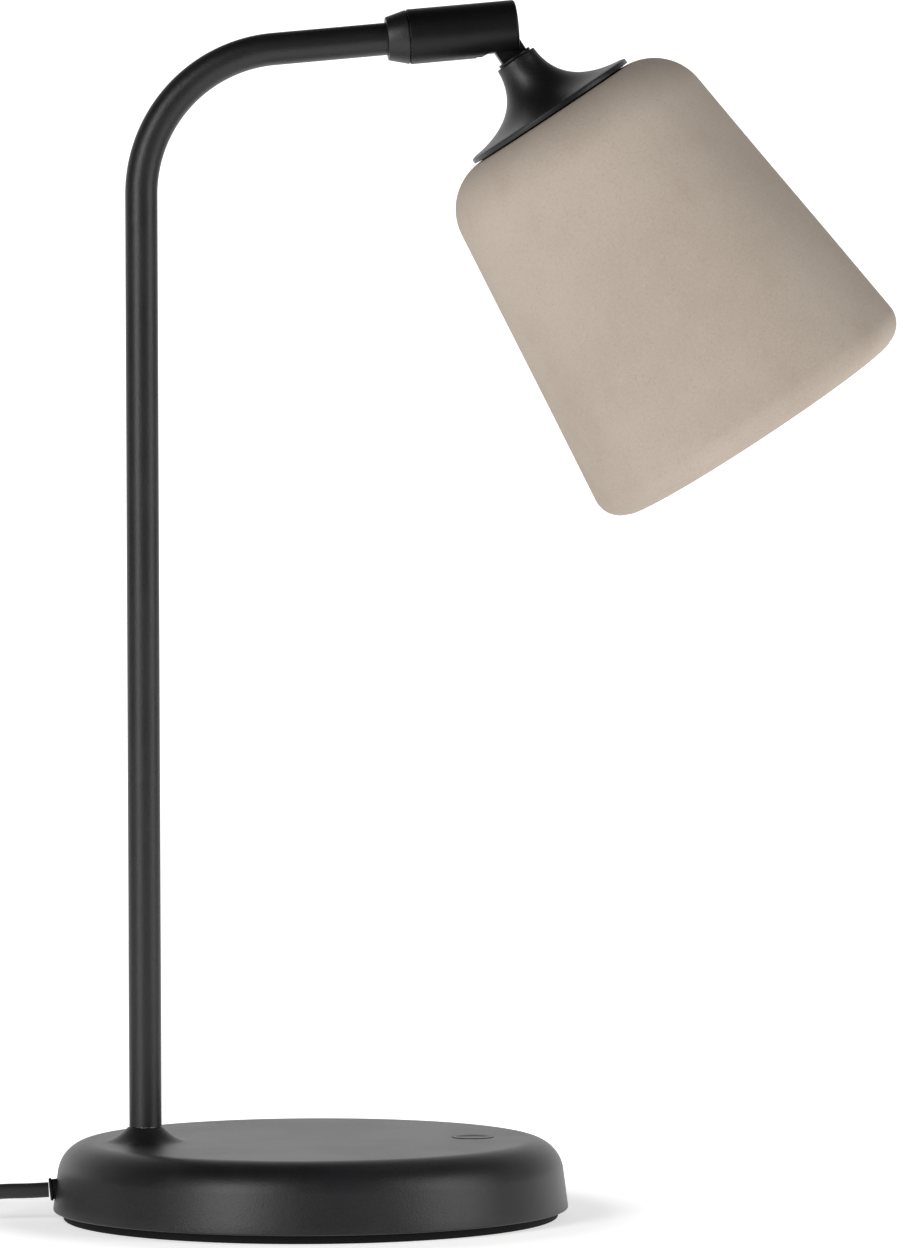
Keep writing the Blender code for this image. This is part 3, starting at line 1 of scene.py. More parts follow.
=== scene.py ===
"""A table lamp in its studio: weighted round base, bent pole, swivel joint and cast shade.

Metres, +Z up, with the arm along +X. The arm frame has its Z along the arm with 0 at the swivel
seam, and the head frame has its Z back along the shade's axis with 0 at the tilt pivot.
"""

import logging
from collections.abc import Iterable
from dataclasses import dataclass
from enum import Enum
from math import atan2, cos, hypot, pi, radians, sin, tan

import bmesh
import bpy
from mathutils import Matrix, Vector


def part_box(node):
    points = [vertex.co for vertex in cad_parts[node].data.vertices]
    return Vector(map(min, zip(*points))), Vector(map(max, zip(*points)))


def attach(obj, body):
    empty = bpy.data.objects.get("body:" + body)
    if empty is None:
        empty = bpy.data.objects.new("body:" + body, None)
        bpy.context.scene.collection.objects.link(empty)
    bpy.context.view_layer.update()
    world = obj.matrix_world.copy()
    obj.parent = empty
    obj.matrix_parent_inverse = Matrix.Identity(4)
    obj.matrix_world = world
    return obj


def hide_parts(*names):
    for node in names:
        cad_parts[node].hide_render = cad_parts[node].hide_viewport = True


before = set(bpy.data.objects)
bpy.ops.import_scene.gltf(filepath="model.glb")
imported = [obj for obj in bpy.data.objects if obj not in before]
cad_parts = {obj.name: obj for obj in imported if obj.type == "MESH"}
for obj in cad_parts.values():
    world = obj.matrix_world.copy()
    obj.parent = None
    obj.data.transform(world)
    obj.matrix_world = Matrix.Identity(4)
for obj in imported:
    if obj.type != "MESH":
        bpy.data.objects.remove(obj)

log = logging.getLogger("table_lamp")

Profile = list[tuple[float, float]]
Corner = tuple[float, float, float]
Colour = tuple[float, float, float]

GAP = 0.0003  # clearance between two pieces that touch
UPRIGHT = Matrix.Rotation(pi / 2, 4, "X")  # stands a flat outline up in XZ


class Body(Enum):
    """The bodies that pieces move with."""

    STAND = "stand"
    BUTTON = "dimmer_button"
    SWIVEL = "swivel_joint"
    HEAD = "lamp_head"


class Slot(Enum):
    """The lamp's material slots."""

    BLACK_PAINT = "black_paint"
    JOINT_BLACK = "joint_black"
    CONCRETE = "concrete"
    RUBBER = "rubber"
    CORD_BLACK = "cord_black"
    ZINC_STEEL = "zinc_steel"
    BRASS = "brass"
    BLACK_PLASTIC = "black_plastic"
    WHITE_PLASTIC = "white_plastic"
    CIRCUIT_BOARD = "circuit_board"
    OPAL = "opal"


class Cut(Enum):
    """How one mesh is combined with another."""

    AWAY = "DIFFERENCE"
    JOIN = "UNION"


def deselect() -> None:
    """Leaves edit mode and deselects every object."""
    if bpy.context.object and bpy.context.object.mode != "OBJECT":
        bpy.ops.object.mode_set(mode="OBJECT")
    bpy.ops.object.select_all(action="DESELECT")


def pick(piece: bpy.types.Object) -> None:
    """Selects one piece alone and makes it active.

    Args:
        piece: The object to work on.
    """
    deselect()
    piece.select_set(True)
    bpy.context.view_layer.objects.active = piece


def edit(piece: bpy.types.Object, chosen: str = "SELECT") -> None:
    """Opens a piece in edit mode.

    Args:
        piece: The object to open.
        chosen: SELECT or DESELECT for all of its mesh.
    """
    pick(piece)
    bpy.ops.object.mode_set(mode="EDIT")
    bpy.ops.mesh.select_all(action=chosen)


def begin_point(name: str, at: Iterable[float]) -> bpy.types.Object:
    """A new mesh of a single point, left open in edit mode.

    Args:
        name: Name of the piece.
        at: Where the point lies.

    Returns:
        The new object.
    """
    deselect()
    bpy.ops.mesh.primitive_plane_add(size=0.002, location=(0, 0, 0))
    piece = bpy.context.active_object
    piece.name = piece.data.name = name
    bpy.ops.object.mode_set(mode="EDIT")
    bpy.ops.mesh.select_mode(type="VERT")
    bpy.ops.mesh.select_all(action="SELECT")
    bpy.ops.mesh.merge(type="CENTER")
    bpy.ops.transform.translate(value=tuple(at))
    return piece


def walk(points: list[Vector]) -> None:
    """Extrudes the selected point along the others, one edge at a time.

    Args:
        points: The line, starting with the selected point's own place.
    """
    for here, there in zip(points, points[1:]):
        step = {"value": tuple(there - here)}
        bpy.ops.mesh.extrude_vertices_move(TRANSFORM_OT_translate=step)


def tidy(piece: bpy.types.Object) -> None:
    """Merges doubled points and turns every face outwards.

    Args:
        piece: The piece to clean.
    """
    edit(piece)
    bpy.ops.mesh.remove_doubles(threshold=0.000002)
    bpy.ops.mesh.normals_make_consistent(inside=False)
    bpy.ops.object.mode_set(mode="OBJECT")


def settle(piece: bpy.types.Object, place: Matrix, angle: float = 32) -> bpy.types.Object:
    """Moves a piece's mesh to its place, leaves the object at the origin and smooths its shading.

    Args:
        piece: The piece.
        place: Where its own frame goes.
        angle: Edges sharper than this many degrees stay crisp.

    Returns:
        The same piece.
    """
    pick(piece)
    piece.matrix_world = place
    bpy.context.view_layer.update()
    bpy.ops.object.transform_apply(location=True, rotation=True, scale=True)
    bpy.ops.object.shade_smooth_by_angle(angle=radians(angle))
    return piece


def turned(name: str, profile: Profile, steps: int = 128) -> bpy.types.Object:
    """Turns a profile about Z, as on a lathe.

    Args:
        name: Name of the piece.
        profile: (radius, height) pairs in order; one that ends where it starts makes a ring.
        steps: Divisions round the axis.

    Returns:
        The turned piece, still about its own axis.
    """
    line = [Vector((radius, 0, height)) for radius, height in profile]
    piece = begin_point(name, line[0])
    walk(line)
    bpy.ops.mesh.select_all(action="SELECT")
    bpy.ops.mesh.spin(steps=steps, angle=2 * pi, center=(0, 0, 0), axis=(0, 0, 1))
    tidy(piece)
    return piece


def prism(name: str, outline: Profile, thickness: float) -> bpy.types.Object:
    """A flat outline in XY given thickness along Z, half to each side.

    Args:
        name: Name of the piece.
        outline: The corners in order.
        thickness: Total thickness.

    Returns:
        The solid, in its own frame.
    """
    line = [Vector((x, y, -thickness / 2)) for x, y in outline]
    piece = begin_point(name, line[0])
    walk(line)
    bpy.ops.mesh.select_all(action="SELECT")
    bpy.ops.mesh.edge_face_add()
    bpy.ops.mesh.extrude_region_move(TRANSFORM_OT_translate={"value": (0, 0, thickness)})
    tidy(piece)
    return piece


def block(name: str, low: Iterable[float], high: Iterable[float]) -> bpy.types.Object:
    """A box between two corners, as a cutter or a start.

    Args:
        name: Name of the piece.
        low: Its lowest corner.
        high: Its highest corner.

    Returns:
        The box.
    """
    low, high = Vector(low), Vector(high)
    deselect()
    bpy.ops.mesh.primitive_cube_add(size=1, location=(low + high) / 2, scale=high - low)
    piece = bpy.context.active_object
    piece.name = name
    bpy.ops.object.transform_apply(location=True, rotation=True, scale=True)
    return piece


def bar(
    name: str, start: Iterable[float], end: Iterable[float], radius: float, sides: int = 48
) -> bpy.types.Object:
    """A round bar between two points, used as a cutter.

    Args:
        name: Name of the piece.
        start: Middle of its first end.
        end: Middle of its other end.
        radius: Its radius.
        sides: Its number of sides.

    Returns:
        The bar.
    """
    start, end = Vector(start), Vector(end)
    deselect()
    bpy.ops.mesh.primitive_cylinder_add(vertices=sides, radius=radius, depth=(end - start).length)
    piece = bpy.context.active_object
    piece.name = name
    turn = (end - start).to_track_quat("Z", "Y").to_matrix().to_4x4()
    piece.matrix_world = Matrix.Translation((start + end) / 2) @ turn
    bpy.context.view_layer.update()
    bpy.ops.object.transform_apply(location=True, rotation=True, scale=True)
    return piece


def combine(piece: bpy.types.Object, other: bpy.types.Object, how: Cut = Cut.AWAY) -> None:
    """Cuts one solid from another, or joins them, and uses the other up.

    Args:
        piece: The solid that stays.
        other: The cutter or addition.
        how: Cut away or join.
    """
    pick(piece)
    modifier = piece.modifiers.new("Combine", "BOOLEAN")
    modifier.operation = how.value
    modifier.solver = "EXACT"
    modifier.object = other
    bpy.ops.object.modifier_apply(modifier=modifier.name)
    bpy.data.objects.remove(other, do_unlink=True)


def soften(piece: bpy.types.Object, width: float, segments: int = 2, angle: float = 35) -> None:
    """Rounds a piece's sharp edges.

    Args:
        piece: The piece.
        width: Width of the rounding.
        segments: Faces across it.
        angle: Edges sharper than this many degrees are rounded.
    """
    pick(piece)
    bevel = piece.modifiers.new("Round", "BEVEL")
    bevel.width = width
    bevel.segments = segments
    bevel.limit_method = "ANGLE"
    bevel.angle_limit = radians(angle)
    bpy.ops.object.modifier_apply(modifier=bevel.name)


def join_meshes(piece: bpy.types.Object, others: list[bpy.types.Object]) -> None:
    """Puts the others' meshes into a piece as they are.

    Args:
        piece: The piece that stays.
        others: The pieces to add.
    """
    pick(piece)
    for other in others:
        other.select_set(True)
    bpy.ops.object.join()


def fill_rims(piece: bpy.types.Object, height: float) -> None:
    """Closes the flat face between all the open rims at one height.

    Args:
        piece: The piece with open rims.
        height: Height of the face.
    """
    edit(piece, "DESELECT")
    bpy.ops.mesh.select_mode(type="EDGE")
    shape = bmesh.from_edit_mesh(piece.data)
    for edge in shape.edges:
        level = all(abs(v.co.z - height) < 0.00001 for v in edge.verts)
        edge.select_set(edge.is_boundary and level)
    bmesh.update_edit_mesh(piece.data)
    bpy.ops.mesh.fill(use_beauty=True)
    bpy.ops.object.mode_set(mode="OBJECT")


def arc(middle: tuple[float, float], radius: float, start: float, end: float, steps: int) -> Profile:
    """Points of an arc in (radius, height).

    Args:
        middle: Its middle.
        radius: Its radius.
        start: First angle, measured up from the outward direction.
        end: Last angle.
        steps: Number of divisions.

    Returns:
        The points, both ends included.
    """
    turns = [start + (end - start) * i / steps for i in range(steps + 1)]
    return [(middle[0] + radius * cos(a), middle[1] + radius * sin(a)) for a in turns]


def rounded(corners: list[Corner], segments: int = 5, closed: bool = False) -> Profile:
    """A profile whose corners are rounded off.

    Args:
        corners: (radius, height, rounding) of each corner.
        segments: Divisions of each rounding.
        closed: Whether the last corner leads back to the first.

    Returns:
        The points, with the first repeated at the end of a closed profile.
    """
    points: Profile = []
    count = len(corners)
    for i, (r, z, fillet) in enumerate(corners):
        if fillet <= 0 or (not closed and i in (0, count - 1)):
            points.append((r, z))
            continue
        here = Vector((r, z))
        back = (Vector(corners[i - 1][:2]) - here).normalized()
        on = (Vector(corners[(i + 1) % count][:2]) - here).normalized()
        half = back.angle(on) / 2
        middle = here + (back + on).normalized() * fillet / sin(half)
        first = here + back * fillet / tan(half) - middle
        last = here + on * fillet / tan(half) - middle
        start = atan2(first.y, first.x)
        swing = (atan2(last.y, last.x) - start + pi) % (2 * pi) - pi
        points += arc(tuple(middle), fillet, start, start + swing, segments)
    return [*points, points[0]] if closed else points


def bezier(a: Vector, b: Vector, c: Vector, d: Vector, steps: int) -> list[Vector]:
    """Points of a cubic curve.

    Args:
        a: Its start.
        b: The point that pulls its first part.
        c: The point that pulls its last part.
        d: Its end.
        steps: Number of equal steps.

    Returns:
        The points, both ends included.
    """
    found = []
    for i in range(steps + 1):
        t = i / steps
        found.append((1 - t) ** 3 * a + 3 * t * (1 - t) ** 2 * b + 3 * t * t * (1 - t) * c + t**3 * d)
    return found


def smooth_line(knots: list[Vector], spacing: float) -> list[Vector]:
    """Evenly spaced points on the smooth curve through the knots.

    Args:
        knots: Points that the curve passes.
        spacing: Wanted distance between its points.

    Returns:
        The points, both ends included.
    """
    line = [2 * knots[0] - knots[1], *knots, 2 * knots[-1] - knots[-2]]
    fine: list[Vector] = []
    for a, b, c, d in zip(line, line[1:], line[2:], line[3:]):
        for i in range(24):
            t = i / 24
            pull = (2 * b, c - a, 2 * a - 5 * b + 4 * c - d, 3 * b - a - 3 * c + d)
            fine.append((pull[0] + pull[1] * t + pull[2] * t * t + pull[3] * t**3) / 2)
    fine.append(knots[-1])
    total = length_of(fine)
    count = max(2, round(total / spacing))
    even, walked, wanted = [fine[0]], 0.0, total / count
    for p, q in zip(fine, fine[1:]):
        gap = (q - p).length
        while gap and wanted <= walked + gap and len(even) < count:
            even.append(p.lerp(q, (wanted - walked) / gap))
            wanted += total / count
        walked += gap
    return [*even, fine[-1]]


def length_of(line: list[Vector]) -> float:
    """The length of a line of points."""
    return sum((q - p).length for p, q in zip(line, line[1:]))


def ease(t: float, start: float, end: float) -> float:
    """A smooth rise from 0 at start to 1 at end."""
    share = min(1.0, max(0.0, (t - start) / (end - start)))
    return share * share * (3 - 2 * share)


# Materials


class Graph:
    """Adds nodes to a material's or a group's tree and links them."""

    def __init__(self, tree: bpy.types.NodeTree) -> None:
        """Takes the tree to work in."""
        self.tree = tree

    def add(
        self, kind: str, inputs: dict[str | int, object] | None = None, **settings: object
    ) -> bpy.types.Node:
        """Adds one node.

        Args:
            kind: Its type, without ShaderNode in front.
            inputs: A value or a socket for each named or numbered input.
            settings: The node's own properties.

        Returns:
            The node.
        """
        node = self.tree.nodes.new(kind if kind.startswith("Node") else f"ShaderNode{kind}")
        for name, value in settings.items():
            setattr(node, name, value)
        for key, value in (inputs or {}).items():
            if isinstance(value, bpy.types.NodeSocket):
                self.tree.links.new(value, node.inputs[key])
            else:
                node.inputs[key].default_value = value
        return node

    def math(self, operation: str, a: object, b: object = 0.0, clamp: bool = False) -> bpy.types.NodeSocket:
        """The result of a sum of two numbers."""
        return self.add("Math", {0: a, 1: b}, operation=operation, use_clamp=clamp).outputs[0]

    def mix(self, share: object, a: object, b: object) -> bpy.types.NodeSocket:
        """The colour a share of the way from a to b."""
        node = self.add("Mix", {0: share, 6: a, 7: b}, data_type="RGBA")
        return node.outputs[2]

    def span(
        self, value: object, low: float, high: float, to_low: float, to_high: float
    ) -> bpy.types.NodeSocket:
        """A value mapped from one range to another, kept inside it."""
        inputs = {0: value, 1: low, 2: high, 3: to_low, 4: to_high}
        return self.add("MapRange", inputs, clamp=True).outputs[0]


def new_group(
    name: str, inputs: dict[str, float], outputs: tuple[str, ...]
) -> tuple[Graph, bpy.types.Node, bpy.types.Node]:
    """An empty shader node group with a Vector input and number sockets.

    Args:
        name: Name of the group.
        inputs: Name and starting value of each number that goes in.
        outputs: Names of the numbers that come out.

    Returns:
        Its graph, its input node and its output node.
    """
    tree = bpy.data.node_groups.new(name, "ShaderNodeTree")
    tree.interface.new_socket("Vector", in_out="INPUT", socket_type="NodeSocketVector")
    for key, value in inputs.items():
        made = tree.interface.new_socket(key, in_out="INPUT", socket_type="NodeSocketFloat")
        made.default_value = value
    for key in outputs:
        tree.interface.new_socket(key, in_out="OUTPUT", socket_type="NodeSocketFloat")
    graph = Graph(tree)
    return graph, graph.add("NodeGroupInput"), graph.add("NodeGroupOutput")


class Effects:
    """The surface effects that several finishes share, each a node group built once."""

    def __init__(self) -> None:
        """Builds the groups."""
        self.grain = self.build_grain()
        self.cloud = self.build_cloud()
        self.pits = self.build_pits()

    @staticmethod
    def build_grain() -> bpy.types.NodeTree:
        """Fine orange peel or sand: soft bumps with a finer layer on top.

        Returns:
            The node group, whose output is a height.
        """
        graph, into, out = new_group("Grain", {"Scale": 2000.0, "Fineness": 2.6}, ("Height",))
        coarse = graph.add(
            "TexNoise", {"Vector": into.outputs["Vector"], "Scale": into.outputs["Scale"], "Detail": 1.5}
        )
        finer = graph.math("MULTIPLY", into.outputs["Scale"], into.outputs["Fineness"])
        fine = graph.add("TexNoise", {"Vector": into.outputs["Vector"], "Scale": finer, "Detail": 1.0})
        part = graph.math("MULTIPLY", fine.outputs[0], 0.4)
        total = graph.math("MULTIPLY_ADD", coarse.outputs[0], 0.6)
        graph.tree.links.new(part, total.node.inputs[2])
        graph.tree.links.new(total, out.inputs["Height"])
        return graph.tree

    @staticmethod
    def build_cloud() -> bpy.types.NodeTree:
        """Broad soft patches, as a mask with settable contrast.

        Returns:
            The node group, whose output is the mask.
        """
        sizes = {"Scale": 20.0, "Low": 0.4, "High": 0.62, "Detail": 4.0}
        graph, into, out = new_group("Cloud", sizes, ("Mask",))
        inputs = {
            "Vector": into.outputs["Vector"],
            "Scale": into.outputs["Scale"],
            "Detail": into.outputs["Detail"],
            "Distortion": 0.35,
        }
        noise = graph.add("TexNoise", inputs)
        ramp = {0: noise.outputs[0], 1: into.outputs["Low"], 2: into.outputs["High"], 3: 0.0, 4: 1.0}
        mask = graph.add("MapRange", ramp, clamp=True, interpolation_type="SMOOTHSTEP")
        graph.tree.links.new(mask.outputs[0], out.inputs["Mask"])
        return graph.tree

    @staticmethod
    def build_pits() -> bpy.types.NodeTree:
        """Scattered small pinholes, as a mask that is 1 in a hole.

        Returns:
            The node group, whose output is the mask.
        """
        graph, into, out = new_group("Pinholes", {"Scale": 300.0, "Size": 0.16, "Share": 0.3}, ("Mask",))
        inputs = {"Vector": into.outputs["Vector"], "Scale": into.outputs["Scale"], "Randomness": 1.0}
        cells = graph.add("TexVoronoi", inputs)
        level = {0: cells.outputs["Distance"], 1: 0.0, 2: into.outputs["Size"], 3: 1.0, 4: 0.0}
        hole = graph.add("MapRange", level, clamp=True, interpolation_type="SMOOTHSTEP")
        parts = graph.add("SeparateColor", {0: cells.outputs["Color"]})
        kept = graph.math("LESS_THAN", parts.outputs[0], into.outputs["Share"])
        graph.tree.links.new(graph.math("MULTIPLY", hole.outputs[0], kept), out.inputs["Mask"])
        return graph.tree

    @staticmethod
    def use(
        graph: Graph, group: bpy.types.NodeTree, vector: bpy.types.NodeSocket, **values: float
    ) -> bpy.types.NodeSocket:
        """Puts a group into a material.

        Args:
            graph: The material's graph.
            group: Which effect.
            vector: The coordinates that it reads.
            values: Its numbers by name.

        Returns:
            Its only output.
        """
        node = graph.add("Group", {}, node_tree=group)
        graph.tree.links.new(vector, node.inputs["Vector"])
        for key, value in values.items():
            node.inputs[key].default_value = value
        return node.outputs[0]


@dataclass(frozen=True)
class Finish:
    """A surface with fine bumps, broad patches of tone and an uneven gloss."""

    name: str
    colour: Colour
    patch: Colour
    roughness: float
    gloss_change: float = 0.06
    metallic: float = 0.0
    grain_scale: float = 1800.0
    grain_depth: float = 0.00003
    patch_scale: float = 25.0
    specular: float = 0.5
    coat: float = 0.0
    coat_roughness: float = 0.3

    def build(self, effects: Effects) -> bpy.types.Material:
        """Builds the material.

        Args:
            effects: The shared node groups.

        Returns:
            The finished material.
        """
        made, graph, shader, place = new_material(self.name)
        grain = effects.use(graph, effects.grain, place, Scale=self.grain_scale)
        cloud = effects.use(graph, effects.cloud, place, Scale=self.patch_scale)
        fleck = graph.span(grain, 0.35, 0.7, 0.0, 0.5)
        share = graph.math("MULTIPLY_ADD", cloud, 0.6)
        graph.tree.links.new(fleck, share.node.inputs[2])
        colour = graph.mix(share, (*self.colour, 1), (*self.patch, 1))
        graph.tree.links.new(colour, shader.inputs["Base Color"])
        low, high = self.roughness - self.gloss_change, self.roughness + self.gloss_change
        graph.tree.links.new(graph.span(share, 0.0, 1.0, low, high), shader.inputs["Roughness"])
        bump = graph.add("Bump", {"Strength": 1.0, "Distance": self.grain_depth, "Height": grain})
        graph.tree.links.new(bump.outputs[0], shader.inputs["Normal"])
        shader.inputs["Metallic"].default_value = self.metallic
        shader.inputs["Specular IOR Level"].default_value = self.specular
        shader.inputs["Coat Weight"].default_value = self.coat
        shader.inputs["Coat Roughness"].default_value = self.coat_roughness
        return made


def new_material(name: str) -> tuple[bpy.types.Material, Graph, bpy.types.Node, bpy.types.NodeSocket]:
    """A new material with its shader and its object coordinates.

    Args:
        name: Name of the material.

    Returns:
        The material, its graph, its Principled shader and the coordinate socket.
    """
    made = bpy.data.materials.new(name)
    made.use_nodes = True
    graph = Graph(made.node_tree)
    place = graph.add("TexCoord").outputs["Object"]
    return made, graph, made.node_tree.nodes["Principled BSDF"], place


@dataclass(frozen=True)
class CastConcrete:
    """Pigmented fine concrete: warm grey, clouded, sandy and a little chalky, with a few pinholes that are
    sunk and darkened with painted shade.
    """

    pale: Colour = (0.462, 0.399, 0.339)
    middle: Colour = (0.398, 0.337, 0.281)
    warm: Colour = (0.318, 0.247, 0.188)

    def build(self, effects: Effects) -> bpy.types.Material:
        """Builds the material.

        Args:
            effects: The shared node groups.

        Returns:
            The finished material.
        """
        made, graph, shader, place = new_material("cast_concrete")
        broad = effects.use(graph, effects.cloud, place, Scale=16.0, Low=0.36, High=0.68, Detail=3.0)
        patches = effects.use(graph, effects.cloud, place, Scale=34.0, Low=0.50, High=0.74, Detail=5.0)
        haze = effects.use(graph, effects.cloud, place, Scale=95.0, Low=0.34, High=0.70, Detail=6.0)
        sand = effects.use(graph, effects.grain, place, Scale=1250.0, Fineness=2.2)
        holes = effects.use(graph, effects.pits, place, Scale=240.0, Size=0.11, Share=0.05)
        tone = graph.mix(graph.math("MULTIPLY", broad, 0.50), (*self.middle, 1), (*self.pale, 1))
        tone = graph.mix(graph.math("MULTIPLY", patches, 0.22), tone, (*self.warm, 1))
        tone = graph.mix(graph.math("MULTIPLY", haze, 0.16), tone, (*self.pale, 1))
        tone = graph.mix(graph.span(sand, 0.30, 0.46, 0.50, 0.0), tone, (*self.warm, 1))
        tone = graph.mix(graph.span(sand, 0.54, 0.70, 0.0, 0.60), tone, (*self.pale, 1))
        # The pinholes are painted darker, as painted shade in each pit; the bump below also sinks them.
        tone = graph.mix(graph.math("MULTIPLY", holes, 0.55), tone, (*self.warm, 1))
        graph.tree.links.new(tone, shader.inputs["Base Color"])
        graph.tree.links.new(graph.span(patches, 0.0, 1.0, 0.93, 0.82), shader.inputs["Roughness"])
        sunk = graph.math("MULTIPLY", holes, -1.1)
        height = graph.math("ADD", sand, sunk)
        bump = graph.add("Bump", {"Strength": 0.8, "Distance": 0.00012, "Height": height})
        graph.tree.links.new(bump.outputs[0], shader.inputs["Normal"])
        shader.inputs["Specular IOR Level"].default_value = 0.28
        return made


@dataclass(frozen=True)
class OpalGlass:
    """Milky white diffuser that lets a little light through."""

    colour: Colour = (0.86, 0.85, 0.80)

    def build(self, effects: Effects) -> bpy.types.Material:
        """Builds the material.

        Args:
            effects: The shared node groups.

        Returns:
            The finished material.
        """
        made, graph, shader, place = new_material("opal_glass")
        cloud = effects.use(graph, effects.cloud, place, Scale=60.0)
        colour = graph.mix(graph.math("MULTIPLY", cloud, 0.3), (*self.colour, 1), (0.93, 0.92, 0.88, 1))
        graph.tree.links.new(colour, shader.inputs["Base Color"])
        graph.tree.links.new(graph.span(cloud, 0.0, 1.0, 0.28, 0.36), shader.inputs["Roughness"])
        shader.inputs["Subsurface Weight"].default_value = 0.3
        shader.inputs["Subsurface Scale"].default_value = 0.004
        return made


class Finishes:
    """Every finish of the lamp, built once and handed out by slot."""

    def __init__(self) -> None:
        """Builds the materials."""
        effects = Effects()
        finishes = {
            Slot.BLACK_PAINT: Finish(
                "powder_coat", (0.0050, 0.0047, 0.0056), (0.0105, 0.0100, 0.0115), 0.40, 0.016,
                specular=0.42, grain_scale=1500.0, grain_depth=0.00011, patch_scale=30.0,
            ),
            Slot.JOINT_BLACK: Finish(
                "satin_black", (0.0022, 0.0021, 0.0022), (0.0055, 0.0052, 0.0055), 0.40, 0.02,
                specular=0.26, grain_scale=1700.0, grain_depth=0.00007,
            ),
            Slot.RUBBER: Finish(
                "rubber", (0.0045, 0.0045, 0.0045), (0.0080, 0.0080, 0.0080), 0.75,
                specular=0.15, grain_scale=1400.0, grain_depth=0.00005,
            ),
            Slot.CORD_BLACK: Finish(
                "cord_sheath", (0.013, 0.013, 0.0135), (0.020, 0.020, 0.020), 0.50,
                specular=0.42, grain_scale=1600.0, grain_depth=0.00003,
            ),
            Slot.ZINC_STEEL: Finish(
                "zinc_plate", (0.52, 0.52, 0.50), (0.40, 0.40, 0.37), 0.34, 0.08,
                metallic=1.0, grain_scale=1500.0, grain_depth=0.00001,
            ),
            Slot.BRASS: Finish(
                "brass", (0.72, 0.53, 0.24), (0.58, 0.40, 0.16), 0.28, 0.08,
                metallic=1.0, grain_scale=1500.0, grain_depth=0.00001,
            ),
            Slot.BLACK_PLASTIC: Finish(
                "black_plastic", (0.016, 0.0155, 0.0165), (0.024, 0.023, 0.024), 0.46,
                grain_scale=1900.0, grain_depth=0.00004,
            ),
            Slot.WHITE_PLASTIC: Finish(
                "white_plastic", (0.78, 0.78, 0.75), (0.70, 0.70, 0.66), 0.42,
                grain_scale=1500.0, grain_depth=0.00001,
            ),
            Slot.CIRCUIT_BOARD: Finish(
                "circuit_board", (0.02, 0.12, 0.05), (0.04, 0.20, 0.09), 0.35,
                grain_scale=700.0, grain_depth=0.00002, patch_scale=220.0,
            ),
        }
        self.by_slot = {slot: finish.build(effects) for slot, finish in finishes.items()}
        self.by_slot[Slot.CONCRETE] = CastConcrete().build(effects)
        self.by_slot[Slot.OPAL] = OpalGlass().build(effects)

    def dress(self, piece: bpy.types.Object, slot: Slot) -> None:
        """Gives a piece one finish all over.

        Args:
            piece: A new piece or a carried-over node.
            slot: The finish's slot.
        """
        piece.data.materials.clear()
        piece.data.materials.append(self.by_slot[slot])

    def dress_nodes(self) -> None:
        """Gives every carried-over node the finish of its own slot."""
        for name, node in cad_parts.items():
            slot = Slot(node.material_slots[0].material.name.split(".")[0])
            for held in node.material_slots:
                held.material = self.by_slot[slot]
            log.info("node %s in %s", name, slot.value)


@dataclass
class Part:
    """What every sub-assembly shares: the finishes, and how a piece joins the lamp."""

    finishes: Finishes

    def own(self, piece: bpy.types.Object, body: Body, slot: Slot, *nodes: str) -> bpy.types.Object:
        """Dresses a piece, puts it on its body and lets it stand for its nodes.

        Args:
            piece: The new piece.
            body: The body that it moves with.
            slot: Its finish.
            nodes: The CAD nodes that it replaces.

        Returns:
            The same piece.
        """
        self.finishes.dress(piece, slot)
        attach(piece, body.value)
        if nodes:
            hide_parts(*nodes)
        faces = len(getattr(piece.data, "polygons", ()))
        log.info("piece %s on %s, %d faces", piece.name, body.value, faces)
        return piece


